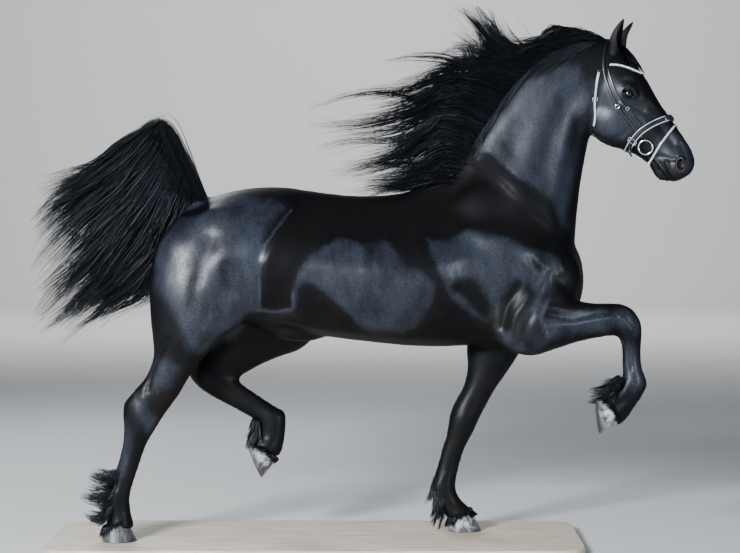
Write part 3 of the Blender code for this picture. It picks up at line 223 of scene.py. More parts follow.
def easedRows(rows, steps, closed=False):
    # smooth rows through every given one
    table = np.asarray(rows, dtype=float)
    if closed:
        start, end = table, np.roll(table, -1, 0)
        before, after = np.roll(table, 1, 0), np.roll(table, -2, 0)
    else:
        start, end = table[:-1], table[1:]
        before, after = np.vstack([table[:1], table[:-2]]), np.vstack([table[2:], table[-1:]])
    t = (np.arange(steps) / steps)[:, None]
    fine = cubic(*(k[:, None] for k in (before, start, end, after)), t).reshape(-1, table.shape[1])
    return fine if closed else np.vstack([fine, table[-1:]])


def sectionRings(widths):
    # closed outlines from three half widths each, at 13, 50 and 87 % of the depth
    zero = np.zeros(len(widths))
    a, b, c = widths.T
    half = np.stack([zero, a, b, c, zero, -c, -b, -a], 1)
    depth = np.broadcast_to([0, 0.13, 0.5, 0.87, 1, 0.87, 0.5, 0.13], half.shape)
    spots = np.stack([depth, half], 2)
    t = (np.arange(3) / 3)[:, None]
    fine = cubic(*(np.roll(spots, k, 1)[:, :, None] for k in (1, 0, -1, -2)), t)
    return fine.reshape(len(widths), -1, 2)


def loft(sections):
    # rings between two edge points x z, x z, about a plane y, with one half width or three
    rows = easedRows(metres(sections), 4)
    widths = rows[:, 5:8] if rows.shape[1] > 6 else rows[:, 5:6] * [0.66, 1, 0.66]
    ring = sectionRings(widths)
    x = rows[:, 0:1] + (rows[:, 2:3] - rows[:, 0:1]) * ring[..., 0]
    z = rows[:, 1:2] + (rows[:, 3:4] - rows[:, 1:2]) * ring[..., 0]
    return np.stack([x, rows[:, 4:5] + ring[..., 1], z], 2)


headDown = math.radians(model["headSlope"])
# columns: along the face, towards the jaw, to the left
headAxes = np.array([[math.cos(headDown), -math.sin(headDown), 0], [0, 0, 1],
                     [-math.sin(headDown), -math.cos(headDown), 0]])
headAxes[:2] = turned(*headAxes[:2].copy(), model["headYaw"])
headPivot = np.array(model["headPivot"])


def fromHead(spots):
    return np.asarray(spots, dtype=float) @ headAxes.T + headPivot


def toHead(spots):
    return (np.asarray(spots, dtype=float) - headPivot) @ headAxes


def sphere(p, q):
    # x = sin p cos q, y = sin p sin q, z = cos p
    p, q = p[:, None], q[None, :]
    return np.stack([np.sin(p) * np.cos(q), np.sin(p) * np.sin(q), np.cos(p) + 0 * q], 2)


def gridFaces(rows, columns, wrap=True, wrapRows=False):
    r = np.arange(rows if wrapRows else rows - 1)[:, None]
    c = np.arange(columns if wrap else columns - 1)[None, :]
    right, below = (c + 1) % columns, (r + 1) % rows
    return np.stack([r * columns + c, r * columns + right,
                     below * columns + right, below * columns + c], 2).reshape(-1, 4)


# ---- meshes and pieces
def readParts(parts, what, wide=1, kind=np.float32):
    # one number or row for each of a mesh's points, edges, loops or faces
    values = np.empty(len(parts) * wide, dtype=kind)
    parts.foreach_get(what, values)
    return values.reshape(-1, wide) if wide > 1 else values


def pointsOf(mesh, what="co"):
    return readParts(mesh.vertices, what, 3).astype(float)


def movePoints(mesh, points):
    mesh.vertices.foreach_set("co", np.ascontiguousarray(points, dtype=np.float32).ravel())
    mesh.update()


def hold(mesh, name, values):
    # a value for each point, for a finish to read
    layer = mesh.attributes.new(name, "FLOAT", "POINT")
    layer.data.foreach_set("value", np.asarray(values, dtype=np.float32).ravel())


def makeMesh(name, points, faces, uv=None, uvName="OFBake"):
    # faces is a list of index arrays, each with its own number of corners
    mesh = bpy.data.meshes.new(name)
    corners = np.concatenate([f.ravel() for f in faces]).astype(np.int32)
    sizes = np.concatenate([np.full(len(f), f.shape[1]) for f in faces])
    starts = np.concatenate([[0], np.cumsum(sizes)[:-1]]).astype(np.int32)
    mesh.vertices.add(len(points))
    mesh.vertices.foreach_set("co", np.ascontiguousarray(points, dtype=np.float32).ravel())
    mesh.loops.add(len(corners))
    mesh.loops.foreach_set("vertex_index", corners)
    mesh.polygons.add(len(sizes))
    mesh.polygons.foreach_set("loop_start", starts)
    mesh.update(calc_edges=True)
    mesh.shade_smooth()
    if uv is not None:
        layer = mesh.uv_layers.new(name=uvName)
        layer.data.foreach_set("uv", uv[corners].astype(np.float32).ravel())
    return mesh


def addPiece(name, mesh, finish, replaces=()):
    piece = bpy.data.objects.new(name, mesh)
    bpy.context.scene.collection.objects.link(piece)
    mesh.materials.clear()
    mesh.materials.append(finish)
    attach(piece, "root")
    if replaces:
        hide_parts(*replaces)
    return piece


def turnOutwards(mesh):
    shape = bmesh.new()
    shape.from_mesh(mesh)
    bmesh.ops.recalc_face_normals(shape, faces=shape.faces)
    shape.to_mesh(mesh)
    shape.free()


def closedTube(grid):
    # one closed surface from rings, its two ends drawn together to a point
    rows, columns = grid.shape[:2]
    points = np.vstack([grid.reshape(-1, 3), grid[0].mean(0), grid[-1].mean(0)])
    ring = np.arange(columns)
    ahead = (ring + 1) % columns
    near = np.stack([ring, np.full(columns, rows * columns), ahead], 1)
    last = (rows - 1) * columns
    far = np.stack([ring + last, ahead + last, np.full(columns, rows * columns + 1)], 1)
    return points, gridFaces(rows, columns), np.vstack([near, far])


def gridUv(rows, columns, wide):
    # even patch over a grid of rows and columns
    return np.stack([np.repeat(np.linspace(0, wide, rows), columns),
                     np.tile(np.linspace(0, wide, columns), rows)], 1)


def gridPiece(name, grid, finish, slot, replaces=(), floats=None):
    # closed surface over a grid of rings
    points, quads, tris = closedTube(grid)
    uv = np.vstack([gridUv(*grid.shape[:2], 0.2), [(0, 0.5), (0.2, 0.5)]])
    mesh = makeMesh(name, points + lift, [quads, tris], uv)
    turnOutwards(mesh)
    for key, values in (floats or {}).items():
        hold(mesh, key, values)
    return addPiece(name, mesh, finish, replaces)


def loopPiece(name, grid, finish, slot, replaces=(), uvName="Strap", uvWide=1.0):
    # ring of sections closed both ways
    rows, columns = grid.shape[:2]
    mesh = makeMesh(name, grid.reshape(-1, 3) + lift, [gridFaces(rows, columns, True, True)],
                    gridUv(rows, columns, uvWide), uvName)
    turnOutwards(mesh)
    return addPiece(name, mesh, finish, replaces)


def evaluated(mesh, *steps):
    # the mesh after a row of modifiers, each given as kind and settings
    carrier = bpy.data.objects.new("carrier", mesh)
    bpy.context.scene.collection.objects.link(carrier)
    for kind, settings in steps:
        modifier = carrier.modifiers.new(kind, kind)
        for key, value in settings.items():
            setattr(modifier, key, value)
    graph = bpy.context.evaluated_depsgraph_get()
    made = bpy.data.meshes.new_from_object(carrier.evaluated_get(graph))
    bpy.data.objects.remove(carrier, do_unlink=True)
    return made


# ---- body skin: one closed surface from trunk, neck, head, limbs and dock
# all in millimetres
skin = {
    # x, top, bottom, half widths high, middle and low
    "trunk": (
        (-905, 1270, 1060, 30, 60, 30), (-870, 1345, 1010, 70, 135, 80), (-800, 1415, 970, 120, 215, 140),
        (-720, 1468, 950, 140, 255, 170), (-620, 1512, 940, 160, 275, 190),
        (-500, 1538, 935, 165, 285, 200), (-360, 1545, 925, 150, 285, 200),
        (-220, 1527, 890, 130, 285, 200), (-80, 1510, 868, 120, 295, 205), (60, 1508, 852, 115, 305, 200),
        (200, 1525, 838, 100, 305, 190), (340, 1585, 833, 70, 285, 175), (460, 1610, 838, 60, 255, 165),
        (600, 1560, 850, 90, 240, 155), (720, 1500, 872, 120, 230, 145), (840, 1420, 912, 130, 210, 130),
        (915, 1330, 960, 110, 180, 110), (960, 1250, 1020, 70, 130, 80), (978, 1190, 1080, 30, 60, 30),
    ),
    # crest x z, throat x z, y, half widths at crest, middle and throat
    "neck": (
        (360, 1500, 880, 1020, 0, 80, 205, 150), (400, 1615, 935, 1220, 0, 55, 185, 135),
        (445, 1690, 952, 1400, 0, 48, 158, 115), (515, 1800, 968, 1540, 0, 44, 135, 95),
        (600, 1935, 985, 1640, 0, 42, 118, 80), (700, 2055, 1000, 1720, 0, 42, 106, 70),
        (810, 2135, 1010, 1765, -2, 44, 98, 64), (910, 2178, 1020, 1800, -5, 48, 92, 60),
        (1010, 2198, 1045, 1850, -10, 50, 86, 56), (1090, 2190, 1090, 1930, -20, 46, 78, 50),
    ),
    # distance from the poll, face line, jaw line, three half widths
    "head": (
        (-15, 10, 85, 30, 45, 35), (10, -12, 120, 45, 66, 50), (50, -24, 165, 55, 79, 56),
        (100, -36, 210, 60, 88, 60), (150, -44, 240, 66, 94, 60), (200, -50, 262, 72, 96, 56),
        (250, -53, 277, 72, 93, 50), (300, -52, 283, 62, 86, 43), (350, -53, 276, 51, 77, 37),
        (400, -57, 248, 43, 66, 34), (450, -63, 198, 38, 57, 34), (500, -67, 158, 34, 50, 33),
        (550, -70, 135, 32, 47, 32), (600, -71, 126, 33, 50, 32), (640, -64, 115, 36, 53, 30),
        (672, -45, 90, 32, 47, 26), (692, -18, 60, 20, 34, 18),
    ),
    "dock": (
        (-640, 1440, -760, 1360, 0, 50), (-690, 1500, -815, 1440, 0, 52), (-722, 1580, -822, 1560, 0, 46),
        (-758, 1680, -846, 1660, 0, 42), (-800, 1765, -876, 1730, 0, 36), (-850, 1820, -900, 1775, 0, 28),
        (-900, 1830, -925, 1795, 0, 16),
    ),
    # low rounded forms under the belly: middle x y z, radii
    "sheath": ((-270, 0, 905, 130, 55, 50), (-400, 0, 960, 100, 70, 60)),
    # bulging muscles: middle x y z, radii, lean in degrees; made on both sides
    "muscles": (
        (620, 160, 1200, 240, 85, 200, 20), (560, 85, 1360, 200, 85, 220, 30),
        (860, 120, 1150, 100, 85, 130, 0), (-540, 140, 1270, 280, 115, 190, 10),
        (-720, 150, 1200, 180, 110, 200, 0), (-420, 195, 1220, 130, 80, 180, 0),
    ),
    # the same on the head: along, down, out, radii
    "headForms": (
        (300, 170, 45, 105, 100, 42), (245, 35, 60, 45, 36, 40), (340, 85, 58, 95, 16, 20),
        (170, 75, 65, 50, 45, 30), (635, -12, 30, 36, 34, 26), (660, 45, 18, 32, 34, 26),
        (620, 98, 14, 45, 26, 22),
    ),
}

# front edge x z, back edge x z, y, half width in millimetres
limbs = (
    # right hind
    ((-440, 1400, -800, 1430, -100, 60), (-400, 1280, -885, 1300, -145, 100),
     (-410, 1150, -920, 1150, -160, 125), (-455, 1030, -920, 1020, -165, 125),
     (-520, 945, -910, 900, -165, 110), (-600, 885, -903, 820, -160, 88), (-680, 800, -915, 765, -157, 70),
     (-745, 715, -945, 705, -155, 55), (-792, 634, -990, 655, -153, 45), (-835, 575, -1032, 605, -150, 46),
     (-870, 525, -1040, 555, -148, 50), (-900, 475, -1035, 495, -147, 48), (-928, 430, -1038, 440, -146, 40),
     (-952, 370, -1050, 380, -145, 34), (-975, 300, -1070, 310, -144, 33), (-995, 240, -1092, 245, -143, 36),
     (-1006, 200, -1115, 200, -142, 43), (-1007, 160, -1112, 155, -141, 41),
     (-1002, 120, -1105, 115, -140, 42), (-992, 85, -1112, 65, -140, 52), (-985, 55, -1118, 35, -140, 56)),
    # left hind: thigh, gaskin, cannon and pastern
    ((-360, 1400, -840, 1280, 100, 60), (-240, 1250, -840, 1100, 145, 115),
     (-170, 1100, -760, 970, 155, 125), (-165, 980, -665, 870, 155, 110), (-180, 880, -570, 820, 155, 85)),
    ((-175, 900, -300, 1080, 155, 85), (-270, 812, -430, 1020, 155, 88), (-370, 775, -560, 955, 152, 76),
     (-450, 740, -635, 900, 150, 60), (-530, 695, -695, 845, 147, 47), (-580, 662, -742, 793, 145, 45),
     (-620, 635, -775, 735, 143, 49), (-670, 610, -775, 690, 142, 40)),
    ((-620, 745, -775, 690, 143, 49), (-575, 695, -735, 640, 143, 48), (-535, 655, -655, 588, 142, 40),
     (-480, 618, -555, 535, 141, 34), (-425, 580, -490, 498, 141, 34), (-375, 548, -450, 462, 140, 41),
     (-343, 515, -440, 440, 140, 43)),
    ((-350, 545, -455, 500, 140, 36), (-336, 505, -462, 468, 140, 42), (-338, 455, -462, 440, 140, 40),
     (-345, 410, -466, 415, 140, 42), (-353, 365, -492, 405, 140, 52), (-370, 325, -510, 390, 140, 56)),
    # left fore
    ((860, 1160, 500, 1120, 150, 70), (810, 1020, 480, 990, 160, 85), (765, 900, 475, 880, 158, 85),
     (715, 800, 470, 800, 152, 78), (660, 715, 475, 735, 146, 66), (600, 630, 460, 655, 141, 55),
     (565, 565, 425, 590, 138, 50), (535, 510, 400, 535, 136, 53), (515, 465, 387, 480, 134, 51),
     (487, 410, 380, 425, 133, 41), (462, 360, 360, 370, 132, 35), (443, 300, 343, 305, 131, 33),
     (430, 245, 325, 245, 130, 36), (422, 200, 305, 190, 130, 43), (430, 165, 322, 135, 130, 41),
     (455, 130, 350, 92, 130, 42), (492, 98, 385, 55, 130, 52), (530, 72, 400, 15, 130, 56)),
    # right fore: arm, cannon and pastern
    ((840, 1220, 520, 1000, -150, 70), (880, 1120, 600, 860, -172, 88), (905, 1065, 720, 805, -176, 86),
     (960, 1045, 840, 835, -174, 75), (1020, 1037, 935, 865, -172, 62), (1085, 1037, 1030, 885, -170, 53),
     (1145, 1030, 1090, 893, -170, 51), (1185, 1000, 1118, 890, -170, 48)),
    ((1175, 1015, 1085, 960, -170, 48), (1212, 960, 1105, 910, -170, 53), (1219, 900, 1122, 880, -170, 48),
     (1214, 840, 1130, 830, -170, 36), (1216, 780, 1130, 775, -170, 33), (1228, 730, 1133, 735, -170, 37),
     (1242, 695, 1138, 705, -170, 42)),
    ((1225, 715, 1160, 765, -170, 36), (1243, 680, 1138, 730, -170, 43), (1212, 620, 1118, 682, -170, 41),
     (1178, 570, 1090, 650, -170, 42), (1150, 530, 1055, 635, -170, 52), (1120, 505, 1025, 635, -170, 56)),
)


def skinLofts():
    trunk = [(x, top, x, low, 0, *widths) for x, top, low, *widths in skin["trunk"]]
    grids = [loft(rows) for rows in (trunk, skin["neck"], *limbs, skin["dock"])]
    rows = easedRows(metres(skin["head"]), 4)
    ring = sectionRings(rows[:, 3:6])
    down = rows[:, 1:2] + (rows[:, 2:3] - rows[:, 1:2]) * ring[..., 0]
    along = np.broadcast_to(rows[:, 0:1], down.shape)
    grids.append(fromHead(np.stack([along, down, ring[..., 1]], 2)))
    return grids


def ballGrid(middle, radii, axes):
    ball = sphere(np.linspace(0.04, math.pi - 0.04, 14), around(20))
    return (ball * metres(radii)) @ axes.T + middle


def skinBalls():
    grids = [ballGrid(metres(row[:3]), row[3:], np.eye(3)) for row in skin["sheath"]]
    for row in skin["muscles"]:
        grids += [ballGrid(metres(row[:3]) * [1, side, 1], row[3:6], pitched(row[6])) for side in (-1, 1)]
    for row in skin["headForms"]:
        grids += [ballGrid(fromHead(metres(row[:3]) * [1, 1, side]), row[3:], headAxes) for side in (-1, 1)]
    return grids


def fuseTubes(grids):
    # all tubes in one mesh, then one outer skin by voxels, softened
    points, faces, base = [], [], 0
    for grid in grids:
        spots, quads, tris = closedTube(grid)
        points.append(spots)
        faces += [quads + base, tris + base]
        base += len(spots)
    mesh = makeMesh("tubes", np.vstack(points), faces)
    turnOutwards(mesh)
    return evaluated(mesh, ("REMESH", {"mode": "VOXEL", "voxel_size": model["skinVoxel"]}),
                     ("SMOOTH", {"factor": 0.6, "iterations": model["skinRounds"]}))


def refine(mesh, picked):
    # halve the edges whose two ends are both picked
    shape = bmesh.new()
    shape.from_mesh(mesh)
    edges = [e for e in shape.edges if picked[e.verts[0].index] and picked[e.verts[1].index]]
    bmesh.ops.subdivide_edges(shape, edges=edges, cuts=1, use_grid_fill=True)
    shape.to_mesh(mesh)
    shape.free()


def relax(mesh, amount, rounds):
    # every point moves towards the mean of its neighbours by its own amount
    points = pointsOf(mesh)
    edges = readParts(mesh.edges, "vertices", 2, np.int32)
    ends = np.concatenate([edges[:, 0], edges[:, 1]])
    others = np.concatenate([edges[:, 1], edges[:, 0]])
    count = np.maximum(np.bincount(ends, minlength=len(points)), 1)
    for _ in range(rounds):
        mean = np.stack([np.bincount(ends, points[others, k], len(points)) / count
                         for k in range(3)], 1)
        points = points + (mean - points) * amount[:, None]
    movePoints(mesh, points)


# folds and ridges of the body seen from the side: side (-1 near, 1 far, 0 both),
# half width, height and the line's points x z in turn, in millimetres
bodyFolds = (
    (-1, 42, 9, (-332, 1458, -384, 1424)),  # hip bone
    (-1, 50, -2.5, (-306, 1346, -349, 1260, -371, 1161, -375, 1071)),  # hollow of the flank
    (-1, 30, -3.5, (-641, 1320, -680, 1217, -710, 1106, -727, 1002)),  # rear of the thigh
    (-1, 45, 2, (-581, 1376, -607, 1217, -633, 1054)),
    (-1, 36, -1.5, (-521, 1346, -534, 1217, -555, 1088)),
    (-1, 26, 8, (-461, 1002, -508, 942, -530, 882)),  # stifle
    (-1, 22, 7, (-633, 977, -697, 874, -762, 762)),  # gaskin
    (-1, 13, -9, (-839, 882, -903, 762, -925, 667)),  # hollow before the hock's tendon
    (-1, 12, 4, (-951, 633, -908, 573, -899, 517)),  # hock
    (-1, 45, 7, (403, 1376, 553, 1312, 704, 1247, 790, 1174)),  # shoulder muscles
    (-1, 22, 8, (854, 1235, 867, 1183)),  # point of the shoulder
    (-1, 16, -6, (725, 1226, 759, 1183)),
    (-1, 22, -8, (416, 1088, 476, 1011, 545, 925)),  # behind the elbow
    (-1, 18, -9, (686, 1123, 631, 1037, 605, 934)),  # long head of the upper arm's muscle
    (-1, 15, -7, (729, 985, 695, 908, 678, 848)),
    (-1, 14, 5, (729, 1071, 665, 985, 639, 882)),
    (-1, 10, -5, (781, 998, 906, 972, 1052, 998)),  # forearm
    (-1, 10, 4, (790, 1028, 923, 1011, 1069, 1033)),
    (-1, 12, 4, (777, 942, 918, 947, 1052, 977)),
    (0, 26, -4.5, (966, 1827, 927, 1699, 897, 1527, 854, 1346)),  # groove of the throat
    (0, 34, 2.5, (906, 1836, 863, 1656, 811, 1462)),
    (0, 30, 4, (918, 2120, 747, 2017, 618, 1849, 510, 1699)),  # crest
    (-1, 10, -2.2, (562, 1690, 618, 1630, 682, 1570)),  # folds at the neck's base
    (-1, 8, -3, (519, 1656, 570, 1595, 631, 1535)),
    (-1, 12, 6, (1120, 977, 1163, 925)),  # knee
    (-1, 8, -5, (1103, 925, 1138, 861)),
    (-1, 6, -3, (1163, 861, 1168, 745)),  # tendons of the cannon
    (-1, 6, -3, (-989, 517, -1028, 388)),
    (1, 45, 7, (403, 1376, 553, 1312, 704, 1247, 790, 1174)),
)
# forms that stand over their neighbours: side, sharpness, fade, height and line; a height
# above 0 raises the left of the line, going along it
bodySteps = (
    # rear thigh stands over the flank
    (-1, 15, 75, 6.8, (-293, 1436, -345, 1381, -396, 1295, -426, 1217, -435, 1118, -448, 1020)),
    (-1, 30, 65, -3, (-203, 1303, -272, 1247, -306, 1153, -302, 1045)),  # barrel stands over the flank
    # shoulder stands over the barrel
    (-1, 30, 65, -5.2, (373, 1217, 459, 1088, 536, 1002, 596, 917, 661, 822)),
    (0, 16, 80, 6, (450, 1664, 588, 1570, 734, 1458, 867, 1329)),  # shoulder blade stands over the neck
    (-1, 8, 35, 4.5, (815, 1192, 794, 1123, 772, 1063)),  # upper arm stands over the chest
)
# the same on both sides of the face, the line's points along it and towards the jaw in turn
faceFolds = (
    (10, 6.7, (285, 82, 320, 62, 365, 40, 405, 34)),  # cheek crest
    (15, -7.5, (205, 12, 212, 0)),  # hollow above the eye
    (10, 5.3, (232, 10, 258, 4, 285, 12)),  # brow
    (10, -4.5, (385, 95, 402, 150, 390, 215)),  # front of the cheek
    (12, 3.7, (330, -28, 430, -44, 550, -48)),  # nose bone
    (14, -5.3, (370, 4, 460, -8, 545, -18)),
    (7, -4.5, (560, -38, 600, -42, 622, -34)),  # fold over the nostril
    (3.5, 2.1, (300, 112, 360, 78, 430, 30, 500, 18)),  # veins
    (3, 1.8, (360, 78, 420, 70, 480, 60)),
    (9, 5.3, (600, 45, 640, 52, 672, 50)),  # upper lip
    (10, -3.7, (560, 60, 600, 22, 610, 0)),
    (10, 4.5, (590, 116, 620, 118, 645, 108)),  # chin
    (6, -3.7, (600, 95, 640, 98)),
)


def nearLine(spots, line):
    # from each spot to a line of points: how far, on which side (1 is left, going along)
    # and at what share of the line
    line = np.reshape(line, (-1, 2))
    best = np.full(len(spots), 9.0)
    side, along = np.zeros(len(spots)), np.zeros(len(spots))
    passed = 0.0
    for start, end in zip(line[:-1], line[1:]):
        run = end - start
        off = spots - start
        share = np.clip((off @ run) / (run @ run), 0, 1)
        far = np.linalg.norm(off - share[:, None] * run, axis=1)
        long = np.linalg.norm(run)
        side = np.where(far < best, np.sign(run[0] * off[:, 1] - run[1] * off[:, 0]), side)
        along = np.where(far < best, passed + share * long, along)
        best = np.minimum(best, far)
        passed += long
    return best, side, along / passed


def headShare(points):
    # 1 on the head, 0 away from it
    along, down, out = toHead(points).T
    return (within(along, -0.03, 0.03, 0.76, 0.8) * within(down, -0.16, -0.12, 0.27, 0.3)
            * (1 - ease(np.abs(out), 0.15, 0.18)))


def relief(points, normals):
    # sum of bell shapes over the distance to each line, only where the skin faces the side
    x, y, z = points.T
    height = np.zeros(len(points))
    facing = ease(np.abs(normals[:, 1]), 0.15, 0.6)
    body = facing * (1 - headShare(points))
    shown = {0: body, -1: body * (y < 0), 1: body * (y > 0)}
    flat = points[:, [0, 2]]
    for side, *sizes, line in bodyFolds:
        width, rise = metres(sizes)
        height += rise * shown[side] * bell(nearLine(flat, metres(line))[0], width)
    for side, *sizes, line in bodySteps:
        narrow, wide, rise = metres(sizes)
        far, left, along = nearLine(flat, metres(line))
        strength = within(along, 0.0, 0.14, 0.88, 1.0) * bell(far, wide)
        height += rise * shown[side] * strength * np.tanh(far * left / narrow)
    # ribs show faintly on the barrel
    barrel = within(x, -0.3, -0.12, 0.22, 0.36) * within(z, 0.98, 1.08, 1.28, 1.4)
    rib = (x + 0.25 * z) * 2 * math.pi / 0.062
    height += 0.0004 * barrel * facing * np.cos(rib + 1.1 * np.sin(6.5 * x + 3.0 * z))
    onHead = headShare(points) * ease(np.abs(normals @ headAxes[:, 2]), 0.12, 0.45)
    flat = toHead(points)[:, :2]
    for *sizes, line in faceFolds:
        width, rise = metres(sizes)
        height += rise * onHead * bell(nearLine(flat, metres(line))[0], width)
    return height


# along the face, down and out, and the tilt in degrees
eye = {
    "at": (0.258, 0.035, 0.07), "radius": 0.0225, "tilt": -31.0,
    "halfLength": 0.0205, "upper": 0.0071, "lower": 0.0052,
}
nostril = {"at": (0.64, -0.006, 0.0485), "tilt": 28.0, "halfLong": 0.0285, "halfShort": 0.0205}
mouth = {"corner": 0.515, "depth": 0.102, "slope": 0.13}


def spotOn(form, u, v):
    # along and down the face, from the middle of an eye or a nostril
    return form["at"][0] + u, form["at"][1] + v


def levelled(form, along, down):
    # the way back, turned so that the eye or nostril lies level
    return turned(along - form["at"][0], down - form["at"][1], -form["tilt"])


def lipGap(along, down):
    return np.abs(down - mouth["depth"] + mouth["slope"] * (along - mouth["corner"]))


def openings(points):
    # how far the skin sinks at the eyes, nostrils and the line between the lips
    along, down, out = toHead(points).T
    a, b = levelled(eye, along, down)
    sink = 0.03 * (1 - ease(np.hypot(a, b), 0.017, 0.026)) * (np.abs(out) > 0.04)
    a, b = levelled(nostril, along, down)
    oval = np.hypot(a / nostril["halfLong"], b / nostril["halfShort"])
    sink += 0.03 * (1 - ease(oval, 0.62, 1.0)) * (np.abs(out) > 0.018)
    gap = lipGap(along, down)
    sink += ((0.006 * bell(gap, 0.0028) - 0.0022 * bell(gap - 0.01, 0.006))
             * ease(along, 0.52, 0.55))
    return sink * headShare(points)


def buildSkin():
    mesh = fuseTubes(skinLofts() + skinBalls())
    points = pointsOf(mesh)
    # the trunk and the neck are smoothed more than the limbs, so that the muscles flow
    x, z = points[:, 0], points[:, 2]
    trunk = ease(z, 0.98, 1.12) * (1 - headShare(points)) * within(x, -0.86, -0.78, 0.7, 0.9)
    relax(mesh, 0.6 * trunk, 24)
    # finer on the head and below the knees, finer still round eyes, lips and nostrils
    points = pointsOf(mesh)
    x, z = points[:, 0], points[:, 2]
    refine(mesh, (headShare(points) > 0.01) | (z < 0.47) | ((x > 1.05) & (z < 1.05)))
    points = pointsOf(mesh)
    along, down, out = toHead(points).T
    byEye, byNose = (np.hypot(along - form["at"][0], down - form["at"][1]) < 0.042
                     for form in (eye, nostril))
    byLips = (along > 0.5) & (lipGap(along, down) < 0.024)
    refine(mesh, (headShare(points) > 0.01) & ((byEye & (np.abs(out) > 0.03)) | byLips | byNose))
    points = pointsOf(mesh)
    relax(mesh, 0.4 * ((headShare(points) > 0.01) | (points[:, 2] < 0.5)), 3)
    points, normals = pointsOf(mesh), pointsOf(mesh, "normal")
    points = points + normals * relief(points, normals)[:, None]
    inward = headAxes[:, 2] * np.sign(toHead(points)[:, 2])[:, None]
    points = points - (0.55 * inward + 0.45 * normals) * openings(points)[:, None]
    movePoints(mesh, points + lift)
    mesh.shade_smooth()
    return mesh


coat = {
    "black": (0.0016, 0.0016, 0.0021),
    # glint: painted glints, lighter bluish specks in the hair's grain (used on the ears)
    "glint": (0.007, 0.0082, 0.0115),
    # sheen: painted bluish highlight laid into the zones where the coat shines
    "sheen": (0.0235, 0.028, 0.04),
    # ridge: brighter painted highlight along ridges that catch the light
    "ridge": (0.07, 0.079, 0.1),
    "brown": (0.006, 0.0034, 0.003),
}
# kind (1 where a painted bluish highlight shines, -1 for painted shade in furrows within it, 0 where
# it stays deep black: painted shade with the coat's own brownish tint), metres that the surface is
# nearer than the body's middle, outline in plan units
sheenZones = (
    # barrel
    (1, 0.28, (292, 312, 291, 290, 298, 272, 308, 256, 322, 247, 338, 238, 360, 242, 385, 240, 400, 248,
     412, 262, 425, 272, 436, 284, 434, 300, 424, 320, 405, 332, 380, 337, 360, 330, 345, 312, 325, 295,
     312, 283, 303, 281, 298, 292, 297, 308)),
    # shoulder
    (1, 0.26, (424, 236, 445, 240, 470, 228, 485, 232, 510, 238, 530, 248, 552, 256, 560, 268, 552, 290,
     538, 300, 528, 285, 515, 281, 503, 300, 498, 318, 488, 300, 480, 285, 460, 277, 447, 290, 438, 275,
     430, 255)),
    # elbow
    (1, 0.24, (440, 284, 462, 292, 480, 308, 500, 330, 512, 332, 524, 312, 536, 296, 545, 300, 534, 322,
     545, 342, 532, 356, 515, 354, 498, 334, 470, 316, 450, 300)),
    # neck
    (1, 0.14, (460, 153, 478, 138, 500, 110, 518, 84, 545, 66, 580, 66, 594, 100, 582, 135, 574, 180, 567,
     212, 573, 229, 560, 225, 553, 202, 540, 190, 520, 178, 503, 164, 488, 151, 470, 156)),
    # croup and thigh
    (1, 0.22, (153, 262, 158, 225, 172, 202, 195, 190, 225, 187, 258, 196, 284, 205, 291, 211, 277, 228,
     265, 246, 261, 267, 260, 290, 256, 310, 242, 325, 228, 342, 205, 356, 186, 344, 178, 316, 170, 302,
     158, 292)),
    (1, 0.22, (546, 322, 566, 313, 604, 313, 606, 330, 570, 333, 544, 339)),  # forearm
    # cheek
    (1, 0.14, (593, 80, 612, 76, 630, 86, 624, 96, 642, 106, 652, 122, 642, 130, 626, 138, 608, 140, 597,
     134, 592, 112)),
    (1, 0.16, (664, 134, 680, 134, 690, 150, 694, 168, 680, 173, 668, 166, 655, 150)),  # muzzle
    (1, 0.18, (136, 394, 143, 398, 148, 413, 157, 420, 150, 433, 142, 422, 137, 406)),  # hock
    (1, 0.2, (258, 308, 275, 310, 292, 308, 296, 314, 278, 316, 258, 313)),  # flank fold
    (1, 0.19, (612, 317, 622, 310, 634, 313, 642, 324, 640, 334, 628, 328, 617, 325)),  # knee
    (1, 0.17, (621, 342, 630, 344, 640, 360, 645, 380, 632, 388, 622, 376)),  # cannon
    (1, 0.16, (116, 424, 126, 420, 132, 440, 124, 470, 112, 478, 112, 450)),  # hind cannon
    (1, 0.18, (150, 362, 166, 358, 178, 366, 170, 384, 158, 392, 150, 380)),  # gaskin
    (-1, 0.24, (187, 262, 193, 256, 199, 268, 197, 298, 189, 306, 186, 285)),
    (-1, 0.24, (206, 238, 214, 236, 213, 250, 205, 251)),
    (-1, 0.24, (268, 224, 283, 209, 289, 210, 280, 222, 270, 238, 265, 240)),
    (-1, 0.24, (220, 225, 226, 240, 228, 290, 222, 292, 217, 250)),
    (-1, 0.24, (458, 279, 474, 282, 486, 300, 492, 322, 478, 306)),
    (-1, 0.24, (503, 300, 516, 284, 528, 288, 520, 308, 508, 330, 501, 322)),
    (-1, 0.24, (520, 320, 532, 326, 532, 348, 518, 342)),
    (-1, 0.14, (500, 142, 512, 139, 517, 158, 506, 161)),
    (-1, 0.14, (574, 114, 586, 116, 582, 150, 572, 146)),
    (-1, 0.26, (528, 262, 542, 258, 548, 266, 538, 274, 528, 270)),
    (-1, 0.28, (398, 246, 412, 262, 408, 275, 400, 268)),
    (-1, 0.28, (366, 245, 376, 244, 374, 262, 366, 262)),
    # back and flank
    (0, 0.27, (400, 190, 440, 175, 462, 156, 490, 152, 505, 170, 520, 184, 540, 196, 552, 210, 560, 228,
     552, 245, 530, 246, 510, 236, 480, 230, 455, 236, 436, 244, 428, 262, 414, 262, 402, 246, 385, 238,
     360, 240, 338, 236, 322, 245, 308, 254, 297, 272, 290, 290, 290, 308, 262, 308, 262, 270, 267, 247,
     279, 229, 293, 212, 300, 195, 350, 192)),
    (0, 0.27, (300, 290, 312, 287, 330, 300, 345, 315, 360, 332, 330, 336, 302, 330)),  # belly
    # behind the shoulder
    (0, 0.27, (438, 262, 446, 285, 462, 297, 478, 312, 494, 334, 480, 345, 440, 342, 428, 325, 437, 300,
     438, 285, 426, 270)),
)
